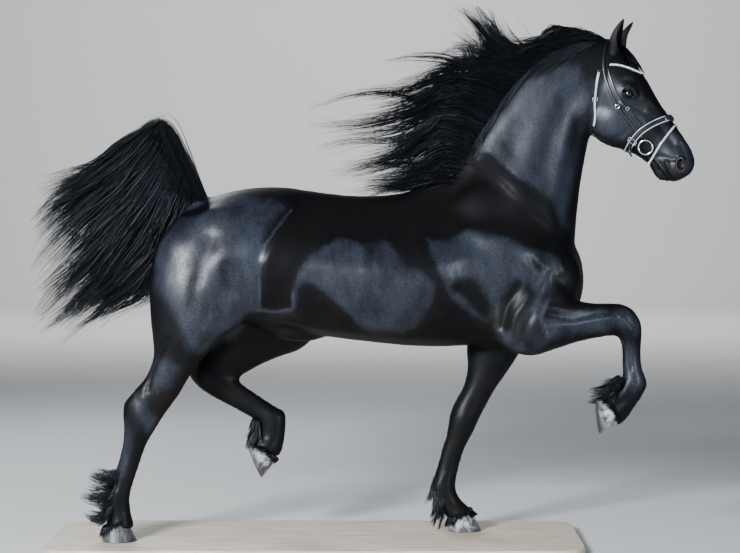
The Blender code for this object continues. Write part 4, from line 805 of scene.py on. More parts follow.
# half width of a ridge with a painted highlight along it, then its line
sheenLines = (
    (0.006, (291, 210, 277, 228, 265, 246, 261, 267, 260, 288, 258, 311)),  # thigh's front
    (0.005, (258, 311, 275, 313, 292, 309, 293, 294)),  # fold of the flank
    (0.007, (548, 300, 540, 318, 548, 336)),  # edge of the upper arm
)
ridgeNearer = 0.24


def insideBy(spots, outline):
    # distance to a closed outline, positive within it: an odd number of its edges
    # lies straight above a point inside
    ring = np.vstack([outline, outline[:1]])
    odd = np.zeros(len(spots), dtype=bool)
    for (x0, z0), (x1, z1) in zip(ring[:-1], ring[1:]):
        across = (spots[:, 0] < x0) != (spots[:, 0] < x1)
        level = z0 + (spots[:, 0] - x0) * (z1 - z0) / (x1 - x0 if x1 != x0 else 1.0)
        odd ^= across & (spots[:, 1] < level)
    return np.where(odd, 1, -1) * nearLine(spots, ring)[0]


def paintSheen(mesh):
    # painted light on the coat's sides: highlights in the shining zones and along the ridges, painted shade
    # in the furrows and the deep black zones
    spots = (pointsOf(mesh) - lift)[:, [0, 2]]
    sheen = np.zeros(len(spots))
    for kind, nearer, outline in sheenZones:
        inside = ease(insideBy(spots, fromPlan(outline, nearer)), -0.052, 0.04)
        if kind > 0:
            sheen = np.maximum(sheen, inside)
        elif kind < 0:
            sheen *= 1 - 0.75 * inside
        else:
            sheen -= inside * (1 - np.clip(sheen, 0, 1))
    for width, line in sheenLines:
        sheen += bell(nearLine(spots, fromPlan(line, ridgeNearer))[0], width)
    hold(mesh, "sheen", sheen * ease(np.abs(pointsOf(mesh, "normal")[:, 1]), 0.25, 0.75))


def coatFinish():
    # short black hair: streaks laid along the body, a painted bluish highlight where the sheen
    # # attribute shines and a brownish black elsewhere, the zones' edges broken up by the hair
    finish = Finish("coatBlack", {"Specular IOR Level": 0.08, "Specular Tint": (0.8, 0.89, 1.0, 1.0),
                    "Coat Roughness": 0.34, "Coat IOR": 1.5, "Coat Tint": (0.86, 0.93, 1.0, 1.0)})
    spot = finish.place()
    grain = finish.noise(finish.place((0.16, 1.0, 1.0), (0, 0.35, 0)), 1100, 2, 0.6)
    streaks = finish.noise(finish.place((0.3, 1.0, 0.9), (0, 0.45, 0)), 360, 3, 0.72)
    patch = finish.noise(spot, 5.5, 3, 0.6)
    mottle = finish.noise(finish.place((0.8, 1.0, 0.35)), 30, 3, 0.65)
    clouds = finish.noise(finish.place((1.0, 1.0, 0.4), (0, 0.15, 0)), 11, 3, 0.6)
    painted = finish.held("sheen")
    zone = ((painted + 0.6 * (streaks - 0.5) + 0.75 * (mottle - 0.5)).between(0.1, 1.05)
            * painted.between(-0.1, 0.3) * (0.45 + 0.55 * clouds.between(0.32, 0.64)))
    height = finish.node("ShaderNodeSeparateXYZ", {}, {0: spot}, 2)
    low = 1 - height.between(0.95, 1.3)
    warm = (patch.between(0.4, 0.66) * (0.35 + 0.65 * low)).between(0.1, 0.9)
    # deep: the painted shade zones, where the coat loses its sheen and shows a little of its own brown
    deep = (painted * -1 + 0.5 * (mottle - 0.5)).between(0.0, 1.0)
    base = finish.tint(deep * 0.35 + warm * 0.65, coat["black"], coat["brown"])
    # painted highlight: the bluish sheen colour, streaked along the hair
    colour = finish.tint(zone * (0.42 + 0.58 * streaks.between(0.36, 0.7)), base, coat["sheen"])
    hairs = streaks.between(0.3, 0.62)
    # brighter painted highlight along the ridge lines
    colour = finish.tint(painted.between(1.05, 1.9) * hairs, colour, coat["ridge"])
    shine = (0.13 + 0.1 * mottle) * (1 - 0.75 * deep) + 0.42 * zone
    return finish.feed(Base_Color=colour, Roughness=0.46 + 0.1 * patch + 0.2 * streaks,
                       Normal=finish.bump(grain + 1.2 * streaks, 0.42, 0.0012),
                       Coat_Weight=shine * (0.35 + 0.65 * hairs))


def unwrap(piece):
    # the skin's own unwrap, cut into charts by the turn of its faces
    piece.data.uv_layers.new(name="OFBake")
    bpy.context.view_layer.objects.active = piece
    piece.select_set(True)
    bpy.ops.object.mode_set(mode="EDIT")
    bpy.ops.mesh.select_all(action="SELECT")
    bpy.ops.uv.smart_project(angle_limit=1.15, island_margin=0.002)
    bpy.ops.object.mode_set(mode="OBJECT")


def facePatches(mesh):
    # place of each face on the unwrap: that of its first corner
    starts = readParts(mesh.polygons, "loop_start", 1, np.int32)
    return readParts(mesh.uv_layers["OFBake"].data, "uv", 2)[starts]


coatMaterial = coatFinish()
skinMesh = buildSkin()
paintSheen(skinMesh)
limbNodes = [limb + half for limb in ("hind_right", "hind_left", "fore_left", "fore_right")
             for half in ("_upper", "_lower")]
skinPiece = addPiece("bodySkin", skinMesh, coatMaterial, ["torso", "neck", "head", *limbNodes])
unwrap(skinPiece)
skinTree = BVHTree.FromPolygons(pointsOf(skinMesh).tolist(),
                                [tuple(p.vertices) for p in skinMesh.polygons])
skinPatch = facePatches(skinMesh)
print("skin", len(skinMesh.polygons), "faces")


def nearestOnSkin(spots):
    # for each spot the nearest place on the skin, the normal there and the face's number
    found = [skinTree.find_nearest(spot) for spot in (spots + lift).tolist()]
    places, normals, faces = (np.array([row[k] for row in found]) for k in range(3))
    return places - lift, normals, faces


def hitOnHead(along, down, side):
    # where a line from the side of the head inwards meets the skin
    start = Vector(fromHead((along, down, side * 0.22)) + lift)
    return skinTree.ray_cast(start, Vector(headAxes[:, 2] * -side), 0.22)


# ---- hair: every strand a closed three-sided blade, all of a piece worked out at once
hair = {
    "patch": 0.003,                  # side of a strand's place on the unwrap
    # where long ends are drawn in: axis, way, start, room
    "limits": ((0, -1, 1.41, 0.068), (2, 1, 2.316, 0.036)),
    "loose": 0.07,                   # share of strands that leave their clump
}


def planCurves(curves):
    # guide lines in plan units, resampled evenly by length
    out = []
    for curve in curves:
        x, z = fromPlan(easedRows(np.reshape(curve, (-1, 2)), 8)).T
        step = np.concatenate([[0], np.cumsum(np.hypot(np.diff(x), np.diff(z)))])
        share = np.linspace(0, step[-1], 41)
        out.append(np.stack([np.interp(share, step, x), 0 * share, np.interp(share, step, z)], 1))
    return np.array(out)


def alongPaths(paths, t):
    # points of each path at its own shares t, in straight steps between samples
    last = paths.shape[1] - 1
    spot = np.clip(t * last, 0, last - 1e-6)
    low = spot.astype(int)
    rest = (spot - low)[..., None]
    row = np.arange(len(paths))[:, None]
    return paths[row, low] * (1 - rest) + paths[row, low + 1] * rest


def comb(curves, count, seed, clump, rootHalf, sideSpread, stray, gather, wave, short,
         rare=1.9, rings=9, between=None):
    # each strand follows a mix of two neighbouring guides; strands of a clump share
    # most of their drift and draw together towards the tip
    guides = planCurves(curves)
    rng = np.random.default_rng(seed)
    clumps = max(count // clump, 1)
    owner = np.arange(count) % clumps
    low, high = between or (0, len(guides) - 1)
    middle = rng.uniform(low, high, clumps)
    which = np.clip(middle[owner] + rng.normal(0, 0.1, count), low, high - 1e-3)
    first = which.astype(int)
    share = (which - first)[:, None, None]
    second = np.minimum(first + 1, len(guides) - 1)
    paths = guides[first] * (1 - share) + guides[second] * share
    length = (short + (1 - short) * rng.uniform(0, 1, clumps) ** rare)[owner]
    length = length * rng.uniform(0.78, 1.0, count)
    reach = np.linspace(0, 1, rings) * length[:, None]
    lines = alongPaths(paths, reach)
    grow = reach[..., None] ** 1.35
    drift = rng.normal(0, 1, (clumps, 3)) * [stray, sideSpread, stray]
    lines += drift[owner][:, None] * grow
    own = rng.normal(0, 1, (count, 3)) * [gather, gather * 1.4, gather]
    lines += own[:, None] * (1 - 0.45 * reach[..., None]) * np.minimum(reach[..., None] * 5, 1)
    lines[..., 1] += (rng.normal(0, 1, count) * rootHalf)[:, None] * (1 - 0.3 * reach)
    turns = rng.uniform(0.6, 1.7, clumps)[owner][:, None]
    phase = rng.uniform(0, 2 * math.pi, (clumps, 3))[owner]
    swing = rng.uniform(0.3, 1.0, clumps)[owner][:, None] * wave * np.minimum(reach * 3, 1)
    lines += swing[..., None] * np.sin((2 * math.pi * turns * reach)[..., None] + phase[:, None])
    loose = rng.uniform(0, 1, count) < hair["loose"]
    lines += (rng.normal(0, 1, (count, 3)) * 0.045 * loose[:, None])[:, None] * grow
    return lines, owner, reach


def keepInside(lines):
    # ends running past the left or upper limit are drawn in, softly
    for axis, way, start, room in hair["limits"]:
        far = way * lines[..., axis]
        drawn = start + room * (1 - np.exp(-np.maximum(far - start, 0) / room))
        lines[..., axis] = way * np.where(far > start, drawn, far)
    return lines


def taper(reach, root, belly, tip):
    # half width along a strand: from the root's to the belly's, then down to the tip's
    t = reach / np.maximum(reach[:, -1:], 1e-6)
    thin = ease(t, 0.45, 1.0)
    return (root + (belly - root) * ease(t, 0, 0.25)) * (1 - thin) + tip * thin


def strandPiece(name, lines, widths, facing, seed, finish, reach=None, vary=1.0, tones=None):
    # widths: half widths at root, belly and tip, each strand's own share of them in vary;
    # ring point = line + across * half * cos q + up * half * 0.55 * sin q
    rng = np.random.default_rng(seed)
    count, rings = lines.shape[:2]
    if reach is None:
        reach = np.broadcast_to(np.linspace(0, 1, rings), (count, rings))
    half = (taper(reach, *widths) * np.reshape(vary, (-1, 1)))[..., None, None]
    run = unit(np.gradient(lines, axis=1))
    across = unit(np.cross(run, np.broadcast_to(facing, run.shape)))
    tilt = rng.uniform(-0.9, 0.9, count)[:, None, None]
    across = across * np.cos(tilt) + np.cross(run, across) * np.sin(tilt)
    up = np.cross(run, across)
    q = around(3)[:, None]
    spots = (lines[:, :, None] + across[:, :, None] * half * np.cos(q)
             + up[:, :, None] * half * 0.55 * np.sin(q)) + lift
    base = (np.arange(count) * rings * 3)[:, None, None]
    quads = (gridFaces(rings, 3) + base).reshape(-1, 4)
    caps = np.array([[0, 2, 1], [rings * 3 - 3, rings * 3 - 2, rings * 3 - 1]])
    # a small patch of the skin's unwrap at the strand's root
    patch = np.stack(np.broadcast_arrays(np.linspace(-0.5, 0.5, rings)[:, None], [-0.4, 0.4, 0.0]), 2)
    roots = skinPatch[nearestOnSkin(lines[:, 0])[2]]
    uv = roots[:, None, None] + hair["patch"] * patch
    mesh = makeMesh(name, spots.reshape(-1, 3), [quads, (caps + base).reshape(-1, 3)], uv.reshape(-1, 2))
    tones = rng.uniform(0, 1, count) if tones is None else tones
    hold(mesh, "tone", np.repeat(tones, rings * 3))
    return addPiece(name, mesh, finish)


def layOnSkin(lines, rise):
    # each point of a strand is moved to its nearest place on the skin, raised
    places, normals, _ = nearestOnSkin(lines.reshape(-1, 3))
    heights = np.broadcast_to(rise, lines.shape[:2]).reshape(-1, 1)
    return (places + normals * heights).reshape(lines.shape)


def hairFinish(name, dark, glint, rough, gloss):
    # long hair: painted highlights in the glint colour run along it in thin lines, some
    # # strands bluer than others
    finish = Finish(name, {"Specular IOR Level": gloss, "Specular Tint": (0.78, 0.88, 1.0, 1.0)})
    tone = finish.held("tone")
    patch = finish.noise(finish.place(), 9, 2, 0.5)
    light = tone.between(0.62, 1.0) * (0.35 + 0.65 * patch.between(0.4, 0.62))
    return finish.feed(Base_Color=finish.tint(light, dark, glint),
                       Roughness=rough + 0.16 * patch - 0.1 * tone)


maneGuides = (
    (608, 41, 592, 36, 570, 38, 546, 46, 524, 54, 505, 48, 490, 34),
    (600, 41, 578, 36, 550, 42, 522, 50, 500, 42, 482, 14),
    (590, 44, 564, 42, 536, 50, 514, 52, 495, 38, 474, 1),
    (572, 52, 548, 52, 524, 56, 505, 50, 488, 28, 467, -2),
    (554, 64, 532, 62, 510, 62, 490, 50, 474, 32, 460, 10),
    (540, 74, 518, 72, 494, 66, 468, 58, 440, 66, 412, 82),
    (533, 84, 500, 80, 474, 70, 446, 72, 408, 84, 344, 92),
    (524, 102, 490, 90, 462, 80, 432, 88, 390, 100, 312, 110),
    (514, 116, 480, 100, 450, 92, 424, 104, 378, 120, 300, 132),
    (501, 134, 465, 116, 440, 112, 414, 128, 370, 140, 306, 146),
    (491, 152, 452, 136, 430, 134, 404, 152, 366, 166, 318, 176),
    (481, 165, 448, 152, 430, 160, 408, 176, 370, 182, 322, 187),
    (473, 178, 444, 172, 428, 178, 400, 186, 366, 188, 330, 190),
    (469, 184, 438, 180, 420, 185, 400, 189, 378, 190, 344, 192),
)
tailGuides = (
    (158, 120, 140, 135, 118, 153, 92, 168, 62, 180, 36, 192),
    (160, 122, 138, 145, 112, 168, 84, 188, 58, 206, 30, 228),
    (163, 128, 138, 160, 108, 188, 80, 212, 52, 238, 27, 265),
    (168, 138, 142, 178, 112, 212, 84, 240, 55, 268, 32, 292),
    (173, 150, 150, 195, 122, 232, 92, 268, 60, 300, 27, 334),
    (178, 162, 158, 210, 134, 250, 105, 285, 72, 312, 27, 345),
    (183, 174, 166, 220, 144, 262, 118, 292, 90, 312, 60, 330),
    (190, 186, 174, 228, 156, 266, 136, 290, 112, 306, 90, 322),
    (196, 196, 184, 232, 170, 262, 158, 280, 140, 295, 120, 310),
)
# over the dock, running up along it and over its end
dockGuides = (
    (212, 208, 196, 178, 180, 142, 164, 118, 146, 124, 122, 142, 96, 160),
    (206, 212, 188, 178, 172, 145, 158, 120, 138, 134, 112, 156, 84, 178),
    (200, 214, 184, 184, 168, 154, 152, 134, 130, 156, 106, 182, 80, 206),
    (196, 216, 180, 192, 162, 168, 142, 170, 120, 196, 98, 222, 76, 246),
    (192, 218, 178, 204, 160, 196, 142, 208, 124, 232, 106, 256, 88, 276),
)
# beside the crest, lying on the neck, down and back
neckGuides = (
    (604, 42, 592, 46, 578, 52, 560, 62, 545, 72),
    (598, 44, 582, 50, 565, 60, 545, 74, 528, 86),
    (585, 42, 566, 50, 548, 62, 528, 78, 512, 92),
    (566, 46, 548, 56, 530, 70, 510, 90, 496, 104),
    (545, 56, 528, 68, 512, 84, 496, 104, 484, 118),
    (528, 70, 512, 84, 498, 102, 484, 120, 474, 134),
    (508, 94, 496, 108, 484, 124, 474, 138, 462, 150),
    (486, 124, 476, 136, 468, 146, 458, 156, 446, 164),
)
hairBlack = hairFinish("hairBlack", (0.0014, 0.0014, 0.0019), (0.008, 0.0094, 0.014), 0.34, 0.2)
# hairSheen: the same black hair with brighter painted bluish highlights, for the neck hair, feathers and
# lower mane
hairSheen = hairFinish("hairSheen", (0.003, 0.0034, 0.0046), (0.018, 0.0215, 0.031), 0.32, 0.42)
combWords = ("clump", "rootHalf", "sideSpread", "stray", "gather", "wave", "short")
tailWay = {"curves": tailGuides, "half": 0.0026, "rings": 8, "rare": 1.1}
maneWay = {"curves": maneGuides, "half": 0.0017, "rare": 2.3}
# count, then the comb words; a stretch of the guides where the hair keeps to one
hairLots = {
    "tailHair.0": (tailWay, 2300, 12, 0.024, 0.05, 0.022, 0.012, 0.018, 0.52),
    "tailHair.1": (tailWay, 2300, 24, 0.022, 0.06, 0.032, 0.012, 0.028, 0.6),
    "tailHair.2": (tailWay, 2300, 46, 0.02, 0.055, 0.04, 0.012, 0.038, 0.66),
    "maneHair.0": (maneWay, 2000, 10, 0.012, 0.045, 0.018, 0.011, 0.012, 0.24),
    "maneHair.1": (maneWay, 2000, 20, 0.012, 0.06, 0.03, 0.012, 0.018, 0.28),
    "maneHair.2": (maneWay, 2000, 34, 0.01, 0.055, 0.042, 0.013, 0.024, 0.34),
    "maneWisps": (maneWay, 700, 40, 0.01, 0.07, 0.04, 0.007, 0.044, 0.66),
    "maneLow": (maneWay, 900, 26, 0.016, 0.04, 0.016, 0.009, 0.022, 0.34, (8.6, 13)),
    "maneTuft": (maneWay, 700, 40, 0.012, 0.04, 0.03, 0.008, 0.022, 0.78, (1.2, 4.4)),
}


def longHair(name, seed, finish, way, count, *row):
    how = dict(way, **dict(zip((*combWords, "between"), row)))
    half = how.pop("half")
    lines, owner, reach = comb(count=count, seed=seed, **how)
    rng = np.random.default_rng(seed + 7)
    tones = rng.uniform(0, 1, owner.max() + 1)[owner] * 0.7 + rng.uniform(0, 0.3, count)
    return strandPiece(name, keepInside(lines), (half * 0.8, half, 0.0003), (0, 1, 0), seed, finish,
                       reach, rng.uniform(0.7, 1.25, count), np.clip(tones, 0, 1))


for seed, (name, row) in enumerate(hairLots.items()):
    piece = longHair(name, 11 + seed, hairSheen if name == "maneLow" else hairBlack, *row)
    if name == "tailHair.0":
        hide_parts("tail")
print("mane and tail")


def buildDock(side, name, count, seed):
    rng = np.random.default_rng(seed)
    lines, owner, reach = comb(dockGuides, count, seed, clump=14, rootHalf=0.006, sideSpread=0.012,
                               stray=0.012, gather=0.008, wave=0.006, short=0.45)
    # round the dock at first, then out to the side of the tail's mass
    lines[..., 1] += side * (0.04 + 0.03 * reach)
    tones = rng.uniform(0, 1, owner.max() + 1)[owner]
    strandPiece(name, keepInside(lines), (0.0011, 0.0015, 0.0003), (0, 1, 0), seed, hairBlack,
                reach, rng.uniform(0.7, 1.2, count), tones)


buildDock(-1, "dockHair.right", 900, 61)
buildDock(1, "dockHair.left", 700, 62)
# feathers: top and bottom of the rooted stretch, way the hair blows x z, reach,
# half width of the leg, lift of the tips, strands
feathers = {
    "featherHindRight": ((-1.056, -0.143, 0.31), (-1.09, -0.14, 0.082), (-0.97, -0.16),
                         0.175, 0.036, 0.022, 1000),
    "featherHindLeft": ((-0.462, 0.141, 0.51), (-0.448, 0.14, 0.4), (-0.62, -0.76),
                        0.1, 0.034, -0.012, 750),
    "featherForeLeft": ((0.352, 0.131, 0.24), (0.378, 0.13, 0.07), (-0.52, -0.84),
                        0.095, 0.036, -0.016, 850),
    "featherForeRight": ((1.136, -0.17, 0.72), (1.092, -0.17, 0.628), (-0.95, -0.26),
                         0.135, 0.04, -0.004, 1100),
}
sideways, downwards = np.array([0, 1, 0]), np.array([0, 0, -1.0])


def buildFeather(name, top, bottom, blow, reach, half, raised, count, seed):
    # a short thick layer hugging the joint, under long bunches that draw to a tip
    rng = np.random.default_rng(seed)
    clumps = count // 16
    owner = np.arange(count) % clumps
    long = rng.uniform(0, 1, clumps) < 0.5
    t = np.clip(rng.uniform(0, 1, clumps)[owner] + rng.normal(0, 0.05, count), 0, 1)
    spread = np.clip(rng.uniform(-1, 1, clumps)[owner] + rng.normal(0, 0.12, count), -1, 1)
    blow = np.array([blow[0], 0, blow[1]])
    spot = top * (1 - t[:, None]) + bottom * t[:, None]
    turn = spread * math.radians(100)
    outward = [np.sign(blow[0]), 0, 0] * np.cos(turn)[:, None] + sideways * np.sin(turn)[:, None]
    root = spot + outward * half * [0.8, 0.9, 0.8]
    way = unit(blow * (0.6 + 0.4 * np.cos(turn))[:, None] + 0.38 * sideways * spread[:, None]
               + rng.normal(0, 0.14, (clumps, 3))[owner])
    size = np.where(long, rng.uniform(0.6, 1.0, clumps), rng.uniform(0.26, 0.56, clumps))[owner]
    size = size * reach * rng.uniform(0.75, 1.0, count)
    size = (size * (0.6 + 0.4 * np.sin(math.pi * np.clip(t, 0.05, 0.95))))[:, None]
    down = np.where(long, 0.0, 0.55)[owner][:, None]
    way = unit(way * (1 - down) + downwards * down)
    tipUp = (raised - 0.014 * rng.uniform(0, 1, count))[:, None]
    end = root + way * size - downwards * tipUp * (1 - down)
    middle = np.array([end[owner == k].mean(0) for k in range(clumps)])
    end += (middle[owner] - end) * 0.38
    sag = downwards * size * (0.1 + 0.22 * rng.uniform(0, 1, clumps)[owner])[:, None]
    first = root + way * size * 0.3 + outward * 0.008 + sag
    second = end - way * size * 0.32 + sag * rng.uniform(0.2, 1.4, clumps)[owner][:, None]
    lines = bezier(root, first, second, end, 8)
    lines[..., 2] = np.maximum(lines[..., 2], 0.006 + 0.01 * spread[:, None] ** 2)
    strandPiece(name, lines, (0.0009, 0.0012, 0.0002), (0, 1, 0.2), seed, hairSheen,
                vary=rng.uniform(0.7, 1.2, count), tones=rng.uniform(0, 1, clumps)[owner] * 0.8)


for seed, (name, row) in enumerate(feathers.items()):
    buildFeather(name, *row, seed + 50)
print("feathers")


def buildForelock(count=520, seed=77):
    # from between the ears down the forehead, over the browband, to both sides
    rng = np.random.default_rng(seed)
    clumps = 40
    owner = np.arange(count) % clumps
    side = np.clip(rng.normal(0.15, 0.5, clumps)[owner] + rng.normal(0, 0.05, count), -1, 1)[:, None]
    size = (rng.uniform(0.55, 1.0, clumps)[owner] * rng.uniform(0.85, 1.0, count))[:, None]
    t = np.linspace(0, 1, 9)[None, :]
    along = 0.012 + 0.02 * rng.uniform(0, 1, count)[:, None] + 0.185 * size * t
    down = -0.07 + 0.03 * np.abs(side) * t
    lines = fromHead(np.stack([along, down, side * (0.03 + 0.045 * t)], 2))
    rise = 0.004 + 0.01 * np.sin(math.pi * t) * rng.uniform(0.4, 1.2, clumps)[owner][:, None]
    strandPiece("forelock", layOnSkin(lines, rise + 0.006 * t), (0.0012, 0.0015, 0.0003),
                headAxes[:, 2], seed, hairBlack, vary=rng.uniform(0.7, 1.2, count))


def buildNeckHair(side, name, count, seed):
    rng = np.random.default_rng(seed)
    lines, owner, reach = comb(neckGuides, count, seed, clump=16, rootHalf=0.004, sideSpread=0.0,
                               stray=0.014, gather=0.005, wave=0.009, short=0.35)
    lines[..., 1] = side * (0.03 + 0.09 * reach)
    rise = 0.003 + 0.012 * np.sin(math.pi * reach ** 0.8) * rng.uniform(0.3, 1.0, count)[:, None]
    tones = rng.uniform(0, 1, owner.max() + 1)[owner] * 0.9
    strandPiece(name, layOnSkin(lines, rise), (0.001, 0.0014, 0.0003), (0, 1, 0), seed, hairSheen,
                reach, rng.uniform(0.7, 1.2, count), tones)


buildForelock()
print("forelock")
buildNeckHair(-1, "neckHair.right", 900, 91)
buildNeckHair(1, "neckHair.left", 750, 92)
print("neck hair")


# ---- eyes, lids, nostrils and ears
bothSides = ((-1, "right"), (1, "left"))


def skinOut(along, down, side):
    # distance from the middle plane of the head to its skin
    spots = [hitOnHead(a, b, side)[0] for a, b in zip(along, down)]
    return np.array([0.0 if spot is None else side * toHead(np.array(spot) - lift)[2] for spot in spots])


def stackRings(rows):
    # rings eased from one to the next, as a grid: row, around, xyz
    flat = easedRows(np.reshape(rows, (len(rows), -1)), 3)
    return flat.reshape(len(flat), -1, 3)


def eyeFinish():
    # oval pupil in a dark brown iris, darker towards the white
    finish = Finish("eyeGlass", {"Roughness": 0.04, "Coat Weight": 1.0, "Coat Roughness": 0.02})
    fibre = finish.noise(finish.place(), 900)
    brown = finish.tint(fibre, (0.0075, 0.0032, 0.0016), (0.022, 0.01, 0.0046))
    ring = finish.tint(finish.held("iris").between(0.6, 0.78), brown, (0.004, 0.003, 0.0028))
    pupil = finish.held("pupil").between(0.85, 1.05)
    return finish.feed(Base_Color=finish.tint(pupil, (0.0008, 0.0008, 0.0012), ring))


def buildEye(side, node, finish):
    ball = sphere(np.linspace(0.03, math.pi - 0.03, 40), around(64))
    a, b, c = np.moveaxis(ball, 2, 0)
    # the clear front stands out a little
    bulge = 1 + 0.05 * ease(c, 0.8, 0.95)
    spots = np.stack([a * bulge, b * bulge, side * c * bulge], 2) * eye["radius"]
    slant, across = turned(a, b, -eye["tilt"])
    # 2 and 5 lie outside any iris and pupil
    iris = np.append(np.hypot(slant, across) + (c < 0), [0, 2])
    pupil = np.append(np.hypot(slant / 0.36, across / 0.17), [0, 5])
    gridPiece(node + "Ball", fromHead(spots + np.array(eye["at"]) * [1, 1, side]), finish, "eye", (node,),
              {"iris": iris, "pupil": pupil})


# distance outwards from the slit's edge, thickness of the upper and of the lower lid
# there, in millimetres
lidRows = ((-1, -0.6, -0.6), (0, 1, 0.8), (1, 2.6, 1.8), (3, 3.4, 2.4), (6, 3.4, 2.4), (8.5, 2.4, 2),
           (10.5, 3.2, 1.8), (15, 3, 1.4), (20, 1.4, 0.8), (25, 0, 0), (29, -3, -3))
socket = 0.029                       # radius within which the skin is sunk at the eye


def lidCurve(q):
    # almond: the upper lid arched a little more than the lower, corners drawn out
    half = np.where(np.sin(q) < 0, eye["upper"], eye["lower"])
    return (eye["halfLength"] * np.cos(q) * (1 + 0.06 * np.cos(q) ** 8),
            half * np.sin(q) * (0.72 + 0.28 * np.sin(q) ** 2))


def buildLids(side, name):
    q = around(56)
    slitA, slitB = lidCurve(q)
    rings = []
    for far, above, below in metres(lidRows):
        thick = below + (above - below) * ease(-np.sin(q), -0.4, 0.4)
        # the rows turn from the almond's way out to a round one
        a = slitA + far * np.cos(q) * 0.75
        b = slitB + far * np.sin(q) * np.where(np.sin(q) < 0, 1.05, 0.95)
        u, v = turned(a, b, eye["tilt"])
        away = np.hypot(a, b)
        reach = eye["radius"] + thick
        out = (eye["at"][2] + np.sqrt(np.maximum(reach ** 2 - away ** 2, 0))
               - 0.9 * np.maximum(away - reach, 0))
        if far > 0.004:
            # within the socket the skin's height is taken from just outside it
            clear = np.maximum(away, socket) / np.maximum(away, 1e-6)
            skinHeight = skinOut(*spotOn(eye, u * clear, v * clear), side)
            skinHeight += 0.0006 + np.minimum(thick, 0) - 0.002 * (1 - ease(away, 0.022, 0.032))
            # soft greater of the two heights
            out = 0.5 * (out + skinHeight + np.sqrt((out - skinHeight) ** 2 + 0.003 ** 2)) - 0.0008
        rings.append(fromHead(np.stack([*spotOn(eye, u, v), side * out], 1)))
    # a band between its first and last ring, closed by a second face below it
    band = stackRings(rings)
    below = band[::-1] - headAxes[:, 2] * side * 0.004
    loopPiece(name, np.concatenate([band, below]), coatMaterial, "coat", (), "OFBake", 0.1)


# rows of a nostril from outside in: growth of its rim, millimetres over its plane or the
# skin, share of the skin's height
nostrilRows = (
    (1.62, -4, 1), (1.42, -0.4, 1), (1.26, 1.6, 0.8), (1.12, 4.2, 0.3), (1, 4.8, 0), (0.9, 3.4, 0),
    (0.82, -2, 0), (0.74, -10, 0), (0.6, -19, 0), (0.4, -25, 0), (0.12, -27.5, 0),
)


def buildNostril(side, name, finish):
    q = around(52)
    rings = []
    for grow, rise, onSkin in nostrilRows:
        # the wing of the nostril curls in from above and behind
        curl = grow * (1 - 0.2 * bell(q - 4.1, 0.55) * (grow < 1.3))
        u, v = turned(nostril["halfLong"] * np.cos(q) * curl, nostril["halfShort"] * np.sin(q) * curl,
                      nostril["tilt"])
        out = nostril["at"][2] - 0.15 * u + 0.07 * v - 7 * u ** 2
        along, down = spotOn(nostril, u, v)
        if onSkin > 0:
            out = out * (1 - onSkin) + np.maximum(skinOut(along, down, side), out - 0.012) * onSkin
        rings.append(fromHead(np.stack([along, down, side * (out + rise / 1000)], 1)))
    grid = stackRings(rings)
    # closed behind: the outer ring is carried round the back of the funnel
    middle = fromHead((*nostril["at"][:2], side * 0.01))
    back = np.array([grid[0] * (1 - t) + middle * t for t in (0.7, 0.35, 0)])
    # 0 outside, 1 deep in the nostril
    depth = np.repeat(np.linspace(0, 1, len(grid)), len(q))[len(q):]
    gridPiece(name, np.concatenate([back, grid[1:]]), finish, "coat",
              floats={"depth": np.concatenate([np.zeros(3 * len(q)), depth, [0, 1]])})


def muzzleFinish():
    finish = Finish("muzzleSkin", {})
    depth = finish.held("depth")
    pores = finish.noise(finish.place(), 700, 3, 0.6)
    dark = finish.tint(pores.between(0.5, 0.8), (0.003, 0.0028, 0.0032), (0.016, 0.015, 0.017))
    pink = finish.tint(depth.between(0.62, 0.86), dark, (0.034, 0.017, 0.018))
    # painted shade: near black at the very bottom of the nostril, past the pink lining
    return finish.feed(Base_Color=finish.tint(depth.between(0.9, 1.0), pink, (0.004, 0.001, 0.001)),
                       Roughness=0.34 + 0.2 * pores, Normal=finish.bump(pores, 0.4, 0.001))


ear = {
    # height, half width, half depth, lean forwards, half angle of the opening in front
    "rings": (
        (-0.03, 0.022, 0.02, 0.000, 4), (0.000, 0.025, 0.023, 0.000, 6),
        (0.02, 0.03, 0.026, -0.001, 26), (0.05, 0.034, 0.026, -0.003, 52),
        (0.08, 0.031, 0.021, -0.003, 56), (0.108, 0.022, 0.014, 0.000, 50),
        (0.13, 0.011, 0.008, 0.004, 36), (0.145, 0.0015, 0.0015, 0.007, 20),
    ),
    "wall": 0.003,
    # node, side, way up in the head's axes, turn of the front, right then left
    "sides": (("ear_right", -1, (-0.096, -0.106, 0.028), 0.15),
              ("ear_left", 1, (-0.1, -0.124, 0.024), 0.2)),
    "hairs": 150,
}


